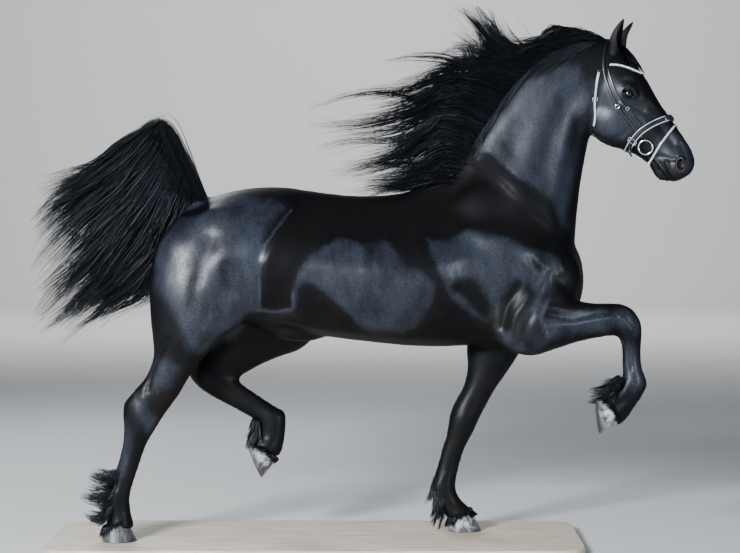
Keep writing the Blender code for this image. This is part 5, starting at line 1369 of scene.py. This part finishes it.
def buildEar(node, side, axis, twist, finish):
    height, half, depth, lean, gap = rows = easedRows(ear["rings"], 5).T
    share = np.linspace(-1, 1, 25)
    turn = math.pi + share * (math.pi - np.radians(gap))[:, None]
    wall = np.minimum(ear["wall"], 0.45 * half)

    def shell(thinner, forward):
        return np.stack([(lean + forward)[:, None] + (depth - thinner)[:, None] * np.cos(turn),
                         (half - thinner)[:, None] * np.sin(turn), height[:, None] + 0 * turn], 2)

    # outer face, then the inner one, set a little forward
    ring = np.concatenate([shell(0 * wall, 0.0), shell(wall, 0.0004)[:, ::-1]], 1)
    up = unit(headAxes @ (np.array(axis) * [1, 1, side]))
    front = headAxes @ [0.45, -0.6, side * twist]
    front = unit(front - up * (front @ up))
    axes = np.stack([front, np.cross(up, front), up])
    base = fromHead((0.055, 0.0, side * 0.05))
    inside = np.append(np.tile(np.repeat([0, 1], len(share)), rows.shape[1]), [0, 0])
    gridPiece(node + "Shell", ring @ axes + base, finish, "coat", (node,), {"inside": inside})
    # hair crossing the opening from both rims
    rng = np.random.default_rng(5 + side)
    count = ear["hairs"]
    at = rng.uniform(0.15, 0.8, count) * 0.135
    edge = np.where(rng.uniform(0, 1, count) < 0.5, 1.0, -1.0)
    halfAt, depthAt, leanAt, gapAt = (np.interp(at, height, row) for row in rows[1:])
    wide = edge * halfAt * np.sin(np.radians(gapAt))
    root = np.stack([leanAt + depthAt * np.cos(np.radians(gapAt)) - 0.004, wide * 0.95, at], 1)
    size = rng.uniform(0.006, 0.015, count)
    tip = root + np.stack([size * 0.15, -wide * rng.uniform(0.3, 1.1, count), size * 1.1], 1)
    tip[:, 2] = np.minimum(tip[:, 2], 0.14)
    first = root + (tip - root) * 0.3 + [0.003, 0, 0]
    second = root + (tip - root) * 0.7 + [0.002, 0, 0]
    strandPiece(node + "Hair", bezier(root, first, second, tip, 6) @ axes + base,
                (0.0006, 0.0008, 0.0002), front, 9 + side, hairBlack)


def earFinish():
    # short hair outside with painted glints in its grain, brownish skin with soft hair inside
    finish = Finish("earCoat", {"Specular IOR Level": 0.28})
    grain = finish.noise(finish.place((1, 1, 0.3)), 600, 3, 0.65)
    outer = finish.tint(grain.between(0.5, 0.8), coat["black"], coat["glint"])
    inner = finish.tint(grain.between(0.4, 0.8), (0.005, 0.0032, 0.0028), (0.03, 0.019, 0.016))
    return finish.feed(Base_Color=finish.tint(finish.held("inside"), outer, inner),
                       Roughness=0.5 + 0.15 * grain, Normal=finish.bump(grain, 0.6, 0.0014))


eyeMaterial, muzzleMaterial, earMaterial = eyeFinish(), muzzleFinish(), earFinish()
for side, word in bothSides:
    buildEye(side, "eye_" + word, eyeMaterial)
    buildLids(side, "lids." + word)
    buildNostril(side, "nostril." + word, muzzleMaterial)
for row in ear["sides"]:
    buildEar(*row, earMaterial)


def buildLashes(side, name, count=70, seed=3):
    # lashes of the upper lid, pointing out and down over the eye
    rng = np.random.default_rng(seed)
    q = rng.uniform(math.pi * 1.08, math.pi * 1.92, count)
    a, b = lidCurve(q)
    u, v = turned(a * 1.03, b * 1.1, eye["tilt"])
    out = eye["at"][2] + np.sqrt(eye["radius"] ** 2 - np.hypot(a, b) ** 2) + 0.0026
    root = np.stack([*spotOn(eye, u, v), side * out], 1)
    size = rng.uniform(0.01, 0.019, count)[:, None]
    tip = root + np.stack([0.25 * np.cos(q), 0.35 + 0.15 * rng.normal(0, 1, count),
                           side * 0.85 + 0 * q], 1) * size
    bend = [0, -0.2, side * 0.35] * size
    lines = bezier(root, root + (tip - root) * 0.35 + bend, root + (tip - root) * 0.7 + bend, tip, 6)
    strandPiece(name, fromHead(lines), (0.0003, 0.00032, 0.0001), headAxes[:, 1], seed, hairBlack)


def buildWhiskers(count=90, seed=4):
    # sparse feelers on lips and chin
    rng = np.random.default_rng(seed)
    along = rng.uniform(0.585, 0.672, count)
    down = rng.uniform(0.035, 0.125, count)
    side = np.where(rng.uniform(0, 1, count) < 0.5, -1.0, 1.0)
    hits = [hitOnHead(*row) for row in zip(along, down, side)]
    root = np.array([hit[0] for hit in hits if hit[0]]) - lift
    way = np.array([hit[1] for hit in hits if hit[0]])
    size = rng.uniform(0.008, 0.028, len(root))[:, None]
    tip = root + unit(way + 0.5 * headAxes[:, 0] + 0.3 * headAxes[:, 1]) * size
    lines = bezier(root - way * 0.002, root + way * size * 0.3, root + way * size * 0.6, tip, 5)
    strandPiece("whiskers", lines, (0.0003, 0.0003, 0.0001), (0, 1, 0.3), seed, hairBlack)


buildLashes(-1, "lashes.right")
buildLashes(1, "lashes.left")
buildWhiskers()
print("head")


# ---- bridle: straps laid on the skin, each with its own rounded section
tack = {
    # in millimetres along the face, towards the jaw and out, for half a strap; the other
    # half mirrors it, and all but the hangers meet it in the middle
    "noseband": ((436, -70, 0), (432, -50, 35), (425, 0, 60), (428, 70, 70), (445, 130, 55),
                 (462, 170, 25), (465, 185, 0)),
    "flash": ((474, -68, 0), (485, -45, 32), (515, 20, 52), (548, 86, 50), (562, 118, 30), (566, 128, 0)),
    "cheek": ((462, 84, 75), (400, 94, 85), (318, 102, 100), (220, 100, 105), (130, 80, 95),
              (60, 45, 85), (12, 10, 60), (-10, -12, 0)),
    "hanger": ((402, 55, 80), (330, 68, 92), (250, 78, 105), (160, 66, 100), (120, 52, 95)),
    "brow": ((108, 40, 95), (122, 12, 88), (158, -25, 68), (195, -46, 35), (205, -53, 0)),
    "throat": ((98, 85, 95), (155, 132, 105), (220, 178, 100), (280, 218, 85), (318, 255, 50),
               (332, 280, 0)),
    "ringAt": (0.499, 0.09, 0.064), "ringRadius": 0.031, "ringTube": 0.0038, "ringTurn": 9.0,
}
# width, thickness and crown of each strap in millimetres
strapSizes = {
    "noseband": (34, 4, 2.8), "flash": (16, 2.6, 0.8), "flashLining": (8.5, 3.6, 0.8),
    "cheek": (13.5, 2.8, 0.8), "throat": (15, 2.8, 0.8), "throatPaleStrip": (9.5, 3.8, 1),
    "hanger": (9.5, 2.4, 0.6), "brow": (15, 3, 1),
}
# a strap's section: share of its width, of its thickness and of its crown
section = ((0.5, 0.0, 0.0), (0.5, 0.55, 0.0), (0.46, 0.92, 0.3), (0.3, 1.0, 0.85), (0.0, 1.0, 1.0),
           (-0.3, 1.0, 0.85), (-0.46, 0.92, 0.3), (-0.5, 0.55, 0.0), (-0.5, 0.0, 0.0))


def mirrored(half, closed=False):
    # right half of a strap, its middle and the left half
    half = metres(half)
    return np.vstack([half * [1, 1, -1], half[-2:0:-1] if closed else half[-2::-1]])


def softened(values, rounds, closed):
    # running mean along a line of values
    for _ in range(rounds):
        mean = (np.roll(values, 1, 0) + 2 * values + np.roll(values, -1, 0)) / 4
        values = mean if closed else np.vstack([values[:1], mean[1:-1], values[-1:]])
    return values


def tangents(path, closed):
    if closed:
        return unit(np.roll(path, -1, 0) - np.roll(path, 1, 0))
    return unit(np.gradient(path, axis=0))


def strapGrid(path, size, closed=False, off=0.0, puff=None):
    # middle line on the skin with its outward, sideways and forward directions; then a
    # section at each of its points: two on the skin, and a rounded back over them
    width, thick, crown = metres(strapSizes[size])
    near, normals, _ = nearestOnSkin(fromHead(easedRows(path, 6, closed)))
    near = softened(near, 2, closed)
    normals = unit(softened(normals, 4, closed))
    run = tangents(near, closed)
    side = unit(np.cross(run, normals))
    near = near + normals * off
    fat = 1 if puff is None else puff(len(near))
    ring = []
    for share, height, dome in section:
        onSkin = softened(nearestOnSkin(near + side * (width * share))[0] + normals * off, 2, closed)
        level = (thick * height + crown * dome) * fat - 0.0006 * (height == 0)
        ring.append(onSkin + normals * np.broadcast_to(level, len(near))[:, None])
    return np.stack(ring, 1), (near, normals, side, run)


def tubeGrid(path, radius, sides, closed=False):
    # round tube along a line of points
    run = tangents(path, closed)
    out = path - path.mean(0)
    out = unit(out - run * np.sum(out * run, 1, keepdims=True))
    up = np.cross(run, out)
    q = around(sides)[None, :, None]
    radius = np.broadcast_to(radius, len(path))[:, None, None]
    return path[:, None] + radius * (out[:, None] * np.cos(q) + up[:, None] * np.sin(q))


def shineLine(name, frame, size, height, share, radius, finish, closed=False):
    # thin raised line along a strap, its pale finish a painted highlight along the ridge or edge
    near, normals, side, _ = frame
    width = metres(strapSizes[size][0])
    line = nearestOnSkin(near + side * (width * share))[0] + normals * height
    build = loopPiece if closed else gridPiece
    build(name, tubeGrid(softened(line, 3, closed), radius, 8, closed), finish, "bridle_leather")


def leatherFinish(name, dark, light, rough):
    # patent leather with a fine grain
    finish = Finish(name, {"Specular IOR Level": 0.3, "Coat Weight": 0.35, "Coat Roughness": 0.14})
    grain = finish.noise(finish.place(), 700, 3, 0.6)
    wear = finish.noise(finish.place(), 40)
    return finish.feed(Base_Color=finish.tint(grain.between(0.45, 0.8), dark, light),
                       Roughness=rough + 0.15 * wear, Normal=finish.bump(grain, 0.25, 0.0006))


def steelFinish():
    finish = Finish("steelBright", {"Base Color": (0.8, 0.8, 0.82, 1.0), "Metallic": 1.0})
    return finish.feed(Roughness=0.1 + 0.1 * finish.noise(finish.place(), 120, 3, 0.6))


leatherBlack = leatherFinish("leatherBlack", (0.0026, 0.0028, 0.0036), (0.007, 0.0078, 0.01), 0.3)
# pale: the noseband's painted reflection lines, the flash's painted highlight and the throatlatch's pale
# strips
leatherPale = leatherFinish("leatherPale", (0.42, 0.44, 0.47), (0.62, 0.64, 0.67), 0.2)
leatherBlueSheen = leatherFinish("leatherBlueSheen", (0.006, 0.012, 0.028), (0.014, 0.028, 0.06), 0.24)
# painted highlight: grey lines along the straps' edges
leatherEdgeShine = leatherFinish("leatherEdgeShine", (0.055, 0.06, 0.07), (0.1, 0.11, 0.12), 0.25)
steelBright = steelFinish()


def padded(count):
    # thicker where the noseband crosses the bridge of the nose, at both ends of the loop
    place = np.arange(count) / count
    return 1 + 0.9 * bell(np.minimum(place, 1 - place), 0.06)


def buckle(name, frame, at, wide, long, height, tube=0.0016):
    # rounded frame standing on the strap with its tongue
    near, normals, side, run = (k[at] for k in frame)
    c, s = np.cos(around(40)), np.sin(around(40))
    a = (np.sign(c) * np.abs(c) ** 0.5 * long / 2)[:, None]
    b = (np.sign(s) * np.abs(s) ** 0.5 * wide / 2)[:, None]
    line = near + normals * height + a * run + b * side
    loopPiece(name, tubeGrid(line, tube, 8, True), steelBright, "steel")
    t = np.linspace(-0.5, 0.55, 8)[:, None]
    tongue = near + normals * (height + 0.0013) + run * long * t
    gridPiece(name + ".tongue", tubeGrid(tongue, tube * 0.7, 6), steelBright, "steel")


def strap(name, path, size, nodes=(), finish=leatherBlack, **how):
    grid, frame = strapGrid(path, size, **how)
    build = loopPiece if how.get("closed") else gridPiece
    build(name, grid, finish, "bridle_leather", nodes)
    return grid, frame


def buildBridle():
    nose, flash = (mirrored(tack[key], True) for key in ("noseband", "flash"))
    grid, noseFrame = strap("nosebandStrap", nose, "noseband", ("noseband",), closed=True, puff=padded)
    for k, share in enumerate((-0.36, 0.3)):
        # two pale lines: painted reflections along the noseband's padded ridges
        shineLine("nosebandPiping.%d" % k, noseFrame, "noseband", 0.0062, share, 0.002, leatherPale, True)
    # painted bluish sheen over the bridge of the nose, a thin layer on the padded crown
    crown = np.arange(-7, 8)
    strip, out = grid[crown, 2:7], noseFrame[1][crown, None]
    pad = np.concatenate([strip + out * 0.0008, strip[:, ::-1] - out * 0.001], 1)
    gridPiece("nosebandCrownSheen", pad, leatherBlueSheen, "bridle_leather")
    flashFrame = strap("flashStrap", flash, "flash", ("flash_strap",), closed=True)[1]
    # pale strip along the flash: a painted highlight along its length
    strap("flashLining", flash, "flashLining", finish=leatherPale, closed=True)
    cheek = strap("headpieceStrap", mirrored(tack["cheek"]), "cheek", ("headpiece",), off=0.0012)[1]
    for k, share in enumerate((-0.4, 0.4)):
        shineLine("headpieceEdge.%d" % k, cheek, "cheek", 0.0034, share, 0.0007, leatherEdgeShine)
    for k, at in enumerate((14, -15)):
        buckle("cheekBuckle.%d" % k, cheek, at, 0.019, 0.015, 0.0066)
    path = mirrored(tack["throat"])
    throat = strap("throatStrap", path, "throat", ("throatlatch",))[1]
    # pale strips along the two halves of the throatlatch
    lining = strapGrid(path, "throatPaleStrip")[0]
    for k, stretch in enumerate((lining[2:22], lining[-22:-2])):
        gridPiece("throatPaleStrip.%d" % k, stretch, leatherPale, "bridle_leather")
    for k, at in enumerate((11, -12)):
        buckle("throatBuckle.%d" % k, throat, at, 0.021, 0.016, 0.0056)
    for side, word in bothSides:
        line = metres(tack["hanger"]) * [1, 1, side]
        hanger = strap("hangerStrap." + word, line, "hanger", ("hanger_" + word,))[1]
        shineLine("hangerEdge." + word, hanger, "hanger", 0.0027, 0.36 * side, 0.0007, leatherEdgeShine)
        buckle("hangerBuckle." + word, hanger, 7, 0.015, 0.012, 0.005)
    brow = strap("browStrap", mirrored(tack["brow"]), "brow", ("browband",))[1]
    return brow, noseFrame, flashFrame


def buildBeads(brow):
    # bright stones set side by side along the browband
    near = softened(brow[0], 2, False)
    step = np.concatenate([[0], np.cumsum(np.linalg.norm(np.diff(near, axis=0), axis=1))])
    count = int(step[-1] / 0.0094)
    at = (np.arange(count) + 0.5) / count * step[-1]
    place, way = (np.stack([np.interp(at, step, row) for row in k.T], 1) for k in (near, brow[1]))
    ball = sphere(np.array([0.35, 0.9, 1.45, 2.1, 2.8]), around(8)) * 0.0054
    points, quads, tris = closedTube(ball)
    spots = (points + (place + unit(way) * 0.0052)[:, None]).reshape(-1, 3) + lift
    base = (np.arange(count) * len(points))[:, None, None]
    mesh = makeMesh("browBeads", spots, [(quads + base).reshape(-1, 4), (tris + base).reshape(-1, 3)])
    turnOutwards(mesh)
    finish = Finish("beadCrystal", {"Base Color": (0.8, 0.83, 0.88, 1), "Coat Weight": 1.0,
                                    "Coat Roughness": 0.03, "Metallic": 0.35})
    sparkle = finish.noise(finish.place(), 260, 1)
    addPiece("browBeads", mesh, finish.feed(Roughness=0.08 + 0.25 * sparkle))


def buildBits():
    # loose ring, the thicker end of the mouthpiece through it and its short bar
    for side, word in bothSides:
        turn = math.radians(side * tack["ringTurn"])
        c, s = np.cos(around(72)), np.sin(around(72))
        flat = np.stack([c * math.cos(turn), s, -c * math.sin(turn)], 1) * tack["ringRadius"]
        ring = fromHead(flat + np.array(tack["ringAt"]) * [1, 1, side])
        loopPiece("bitRing." + word, tubeGrid(ring, tack["ringTube"], 12, True), steelBright,
                  "steel", ("bit_" + word,))
        outward = headAxes[:, 2] * side
        t = np.linspace(0, 1, 9)[:, None]
        thick = np.interp(t[:, 0], [0, 0.15, 0.4, 1], [0.004, 0.0072, 0.0072, 0.006])
        line = ring[3] + outward * (0.005 - 0.035 * t) + headAxes[:, 0] * 1e-4 * t
        gridPiece("bitBar." + word, tubeGrid(line, thick, 12), steelBright, "steel")


def buildChinEnds(noseband, flash):
    # buckle and free strap end below the jaw on the right
    near, normals, side, _ = noseband
    at = len(near) * 5 // 12
    buckle("jawBuckle", noseband, at - 6, 0.04, 0.022, 0.0068, 0.002)
    near, normals, side = near[at - 4], normals[at - 4], side[at - 4]
    t = np.linspace(0, 1, 12)[:, None]
    fall = np.array([0.1, -0.05, -1.0])
    line = near + normals * 0.006 + fall * 0.055 * t + normals * 0.012 * np.sin(math.pi * t)
    corner = np.array([(0.5, -0.5), (0.5, 0.5), (-0.5, 0.5), (-0.5, -0.5)]) * [0.015, 0.0026]
    narrow = np.interp(t, [0, 0.85, 1], [1, 1, 0.4])[:, :, None]
    ring = line[:, None] + corner @ np.stack([side, unit(np.cross(fall, side))]) * narrow
    gridPiece("jawStrapEnd", ring, leatherBlack, "bridle_leather")
    buckle("flashBuckle", flash, len(flash[0]) // 2 - 4, 0.02, 0.015, 0.0048)


browFrame, nosebandFrame, flashFrame = buildBridle()
buildBeads(browFrame)
buildBits()
buildChinEnds(nosebandFrame, flashFrame)
print("bridle")


# ---- hooves: wall with growth rings, white line, hollow sole and frog
hoof = {
    "length": 0.15, "width": 0.142, "toe": 0.086, "heel": 0.05, "run": 0.105, "back": -0.075,
    "topLength": 0.108, "topWidth": 0.112, "topMiddle": -0.022, "rings": 8,
    # node, ground middle x z, y, pitch in degrees
    "feet": (
        ("hoof_hind_right", -1.052, 0.0, -0.14, 0.0),
        ("hoof_fore_left", 0.462, 0.0, 0.13, 0.0),
        ("hoof_fore_right", 1.025, 0.54, -0.17, 84.0),
        ("hoof_hind_left", -0.478, 0.303, 0.14, 66.0)),
}


def hoofOutline(length, width, middle, heel, count):
    # round at the toe, squarer at the heel
    c, s = np.cos(around(count)), np.sin(around(count))
    x = middle + length / 2 * np.sign(c) * np.abs(c) ** np.where(c > 0, 1.0, heel)
    return np.stack([x, width / 2 * np.sign(s) * np.abs(s) ** 0.9], 1)


def hoofTop(count):
    # outline of the coronet, and the wall's height at each of its points
    top = hoofOutline(hoof["topLength"], hoof["topWidth"], hoof["topMiddle"], 0.8, count)
    share = (top[:, 0] - hoof["back"]) / hoof["run"]
    return top, hoof["heel"] + (hoof["toe"] - hoof["heel"]) * share


def frogHeight(x, y):
    # wedge from the heel to the middle of the sole, split by a groove
    wide = 0.02 * np.clip((0.03 - x) / 0.085, 0, 1) + 1e-4
    ridge = (1 - ease(np.abs(y) / wide, 0.7, 1.15)) * ease(x, -0.066, -0.056)
    return ridge * (1 - 0.35 * bell(y, 0.003))


def buildHoof(node, x, z, y, pitch, finish):
    low = hoofOutline(hoof["length"], hoof["width"], 0.0, 0.7, 56)
    top, height = hoofTop(56)
    middle = np.array([hoof["topMiddle"], 0])
    # outline and height of each ring, and its share of the wall, below 0 on the sole
    rings = []
    for inward in (0.25, 0.55, 0.74, 0.84):
        # sole, from the middle out, hollow, with the frog standing in it
        hollow = 0.01 * (1 - ease(inward, 0.6, 0.84)) + 0.0012
        rings.append((low * inward, hollow - 0.0075 * frogHeight(*(low * inward).T), -1.0))
    rings += [(low * inward, up, -0.5) for inward, up in ((0.88, 0.0006), (0.97, 0.0002), (0.995, 0.0018))]
    for share in np.linspace(0.05, 0.97, 22):
        groove = 1 - 0.0045 * (1 + np.sin(share * 2 * math.pi * hoof["rings"] + 1.0)) * 0.5
        rings.append(((low + (top - low) * share) * groove, height * share, share))
    rings += [(middle + (top - middle) * inward, height * rise, 1.0)
              for inward, rise in ((0.985, 1.0), (0.9, 1.01), (0.6, 1.0))]
    grid = np.array([np.column_stack([flat, np.broadcast_to(up, len(flat))]) for flat, up, _ in rings])
    up = np.append(np.repeat([kind for *_, kind in rings], len(low)), [-1, 1])
    gridPiece(node + "Horn", grid @ pitched(pitch).T + [x, y, z], finish, "horn", (node,),
              {"up": up})


def hornFinish(name, pale):
    # slate grey horn, whitish below the coronet and in streaks, sole darker
    finish = Finish(name, {"Coat Weight": 0.3, "Coat Roughness": 0.2})
    up = finish.held("up")
    streak = finish.noise(finish.place((1.0, 1.0, 0.12)), 170, 3, 0.6)
    blot = finish.noise(finish.place(), 34, 3, 0.6)
    dark = finish.tint(streak.between(0.35, 0.7), (0.022, 0.022, 0.025), (0.085, 0.085, 0.09))
    whitish = blot.between(0.38, 0.62) * up.between(-0.1, 0.7) * pale
    light = finish.tint(whitish, dark, (0.42, 0.42, 0.43))
    return finish.feed(Base_Color=finish.tint(up.between(-0.3, 0.02), (0.022, 0.021, 0.021), light),
                       Roughness=0.26 + 0.22 * blot, Normal=finish.bump(streak, 0.25, 0.0008))


def buildCoronet(node, x, z, y, pitch, seed, count=420):
    # fringe of hair falling over the top of a hoof
    rng = np.random.default_rng(seed)
    top, height = hoofTop(count)
    off = top - [hoof["topMiddle"], 0]
    size = ((0.016 + 0.026 * ease(-top[:, 0], 0.0, 0.06)) * rng.uniform(0.6, 1.15, count))[:, None]
    out = unit(np.column_stack([off, np.zeros(count)]))
    rootHeight = height + 0.004 + 0.012 * rng.uniform(0, 1, count)
    root = np.column_stack([[hoof["topMiddle"], 0] + off * 0.95, rootHeight])
    tip = root + out * (0.3 * size + 0.004) + downwards * size + rng.normal(0, 0.002, (count, 3))
    first = root + out * 0.006 + 0.2 * downwards * size
    second = root + out * 0.008 + 0.65 * downwards * size
    lines = bezier(root, first, second, tip, 6) @ pitched(pitch).T + [x, y, z]
    strandPiece(node + "Fringe", lines, (0.001, 0.0013, 0.0003), (0, 1, 0.1), seed, hairBlack)


hornDark, hornPale = hornFinish("hoofHornDark", 0.1), hornFinish("hoofHornPale", 0.95)
for row in hoof["feet"]:
    buildHoof(*row, hornDark if row[0] == "hoof_hind_right" else hornPale)
for seed, row in enumerate(hoof["feet"]):
    buildCoronet(*row, seed + 120)
print("hooves")


# ---- plate: pale board with rounded corners and edges
plate = {"from": -1.36, "to": 0.96, "half": 0.4, "corner": 0.12, "edge": 0.005, "dish": 0.25}


def oakFinish():
    finish = Finish("plateOak", {"Specular IOR Level": 0.4})
    grain = finish.noise(finish.place((0.9, 9.0, 9.0)), 5.5, 5, 0.6)
    pores = finish.noise(finish.place((3.0, 60.0, 60.0)), 12, 2, 0.6)
    wood = finish.tint(grain.between(0.35, 0.68), (0.46, 0.39, 0.3), (0.62, 0.55, 0.45))
    colour = finish.tint(pores.between(0.6, 0.75) * 0.35, wood, (0.3, 0.24, 0.17))
    return finish.feed(Base_Color=colour, Roughness=0.48 + 0.15 * pores,
                       Normal=finish.bump(pores, 0.1, 0.0008))


def buildPlate():
    # outline of a rounded rectangle, carried up a profile with rounded edges
    half = np.array([(plate["to"] - plate["from"]) / 2, plate["half"]])
    q = np.linspace(0, math.pi / 2, 13)
    outline = []
    for quarter, signs in enumerate(((1, 1), (-1, 1), (-1, -1), (1, -1))):
        a = q + quarter * math.pi / 2
        outline.append(signs * (half - plate["corner"])
                       + plate["corner"] * np.stack([np.cos(a), np.sin(a)], 1))
    outline = np.vstack(outline)
    a = np.linspace(0, math.pi / 2, 6)
    inset, rise = plate["edge"] * (1 - np.sin(a)), plate["edge"] * (1 - np.cos(a))
    inset = [plate["dish"], *inset, *inset[::-1], plate["dish"]]
    height = [-model["plateThick"], *(rise - model["plateThick"]), *-rise[::-1], 0.0]
    middle = [(plate["to"] + plate["from"]) / 2, 0]
    grid = np.array([np.column_stack([outline * (half - far) / half + middle, np.full(len(outline), z)])
                     for far, z in zip(inset, height)])
    gridPiece("plateBoard", grid, oakFinish(), "stand_plate", ("stand_base",))


buildPlate()
print("plate")


# ---- short coat: thin tufts lying along the body where it breaks the outline
def tuftWays(spots, normals):
    # coat runs to the tail and down; down the limbs; down the face on the head
    head = headShare(spots)[:, None]
    limb = (1 - ease(spots[:, 2], 0.85, 1.05))[:, None]
    way = [-0.85, 0, -0.45] * (1 - limb) + [-0.15, 0, -1.0] * limb
    way = way * (1 - head) + headAxes[:, 0] * head
    return unit(way - normals * np.sum(way * normals, 1, keepdims=True))


def edgeWeight(middle, normal):
    # under the belly, behind the limbs, on chest, jaw and crest
    under = ease(-normal[:, 2], 0.3, 0.9) * (middle[:, 2] > 0.6)
    behind = ease(-normal[:, 0], 0.4, 0.9) * (middle[:, 2] < 1.2)
    jaw = headShare(middle) * ease(-normal[:, 2], 0.2, 0.8)
    return 0.01 + under + 1.6 * behind + 2.5 * jaw


def shankWeight(middle, normal):
    # shaggier hair on fetlocks and the backs of the cannons
    x, _, z = middle.T
    low = 1 - ease(z, 0.28, 0.48)
    raised = (ease(x, 1.02, 1.1) * (1 - ease(z, 0.8, 0.92))
              + within(z, 0.34, 0.38, 0.6, 0.72) * within(x, -0.6, -0.5, -0.3, -0.2))
    return np.clip(low + raised, 0, 1) * (0.25 + ease(-normal[:, 0], -0.2, 0.6)) + 1e-6


def buildTufts(name, count, seed, size, weightOf):
    rng = np.random.default_rng(seed)
    faces = skinMesh.polygons
    middle, normal = readParts(faces, "center", 3) - lift, readParts(faces, "normal", 3).astype(float)
    weight = readParts(faces, "area").astype(float) * weightOf(middle, normal)
    pick = rng.choice(len(middle), count, p=weight / weight.sum())
    root, up = middle[pick], normal[pick]
    root = root + rng.normal(0, 0.003, (count, 3)) * (1 - np.abs(up))
    way = unit(tuftWays(root, up) + rng.normal(0, 0.16, (count, 3)))
    long = (size * rng.uniform(0.6, 1.2, count))[:, None]
    rise = up * long * rng.uniform(0.01, 0.08, count)[:, None]
    t = np.linspace(0, 1, 4)[None, :, None]
    lines = (root - up * 0.001)[:, None] + (way * long)[:, None] * t + rise[:, None] * t * (1.5 - 0.9 * t)
    strandPiece(name, lines, (0.0006, 0.0007, 0.00015), (0.1, 1.0, 0.2), seed, hairBlack,
                vary=rng.uniform(0.7, 1.3, count), tones=rng.uniform(0, 0.8, count))


buildTufts("coatTufts", 2600, 201, 0.01, edgeWeight)
buildTufts("shankTufts", 4000, 202, 0.014, shankWeight)
print("tufts")


# ---- camera, floor and light
studio = {
    "cameraAt": (0.0496, -9.0, 1.561), "lens": 98.95, "shiftDown": -0.1182,
    "floorTone": (0.6, 0.6, 0.594, 1), "sky": (0.72, 0.8, 1.0, 1), "skyStrength": 0.11,
    "halfWide": 30.0, "front": -26.0, "back": 22.0, "high": 18.0, "bend": 4.0,
    # name, place, aim, width, height, power, colour
    "lamps": (
        ("key", (-4.2, -6.8, 3.6), (0.0, 0.0, 1.2), 2.0, 1.6, 1750, (0.9, 0.95, 1.0)),
        ("fill", (4.8, -6.5, 1.8), (0.4, 0.0, 1.2), 1.8, 2.6, 330, (0.84, 0.92, 1.0)),
        ("back", (-2.5, 4.5, 4.5), (0.0, 0.0, 1.4), 1.8, 1.4, 190, (0.9, 0.95, 1.0)),
        ("paper", (0.0, 12.0, 8.0), (0.0, 20.0, 1.5), 12.0, 2.0, 1500, (1.0, 1.0, 1.0)),
    ),
}


def addThing(name, data):
    thing = bpy.data.objects.new(name, data)
    bpy.context.scene.collection.objects.link(thing)
    return thing


def buildFloor():
    # floor and wall as one sweep: a straight run, a quarter circle and a straight rise
    turn = np.linspace(0, math.pi / 2, 24)
    wide, bend, back = studio["halfWide"], studio["bend"], studio["back"]
    y = np.concatenate([[studio["front"]], back - bend + bend * np.sin(turn), [back]])
    z = np.concatenate([[0.0], bend - bend * np.cos(turn), [studio["high"]]])
    grid = [[(x, far, high) for x in (-wide, wide)] for far, high in zip(y, z)]
    mesh = makeMesh("studioFloor", np.reshape(grid, (-1, 3)), [gridFaces(len(y), 2, False)])
    paper = Finish("studioPaper", {"Roughness": 0.9, "Base Color": studio["floorTone"]})
    mesh.materials.append(paper.material)
    addThing("studioFloor", mesh)


def buildView():
    view = bpy.data.cameras.new("view")
    view.lens = studio["lens"]
    view.sensor_fit = "HORIZONTAL"
    view.sensor_width = 36
    view.shift_y = studio["shiftDown"]
    camera = addThing("view", view)
    camera.location = studio["cameraAt"]
    camera.rotation_euler = (math.pi / 2, 0, 0)
    bpy.context.scene.camera = camera


def buildLights():
    world = bpy.data.worlds.new("studio")
    bpy.context.scene.world = world
    world.use_nodes = True
    background = world.node_tree.nodes["Background"]
    background.inputs["Color"].default_value = studio["sky"]
    background.inputs["Strength"].default_value = studio["skyStrength"]
    for name, place, aim, width, height, power, colour in studio["lamps"]:
        data = bpy.data.lights.new(name, "AREA")
        data.shape = "RECTANGLE"
        data.size, data.size_y = width, height
        data.energy = power
        data.color = colour
        lamp = addThing(name, data)
        lamp.location = place
        lamp.rotation_euler = (Vector(aim) - Vector(place)).to_track_quat("-Z", "Y").to_euler()


buildFloor()
buildView()
buildLights()
print("done")
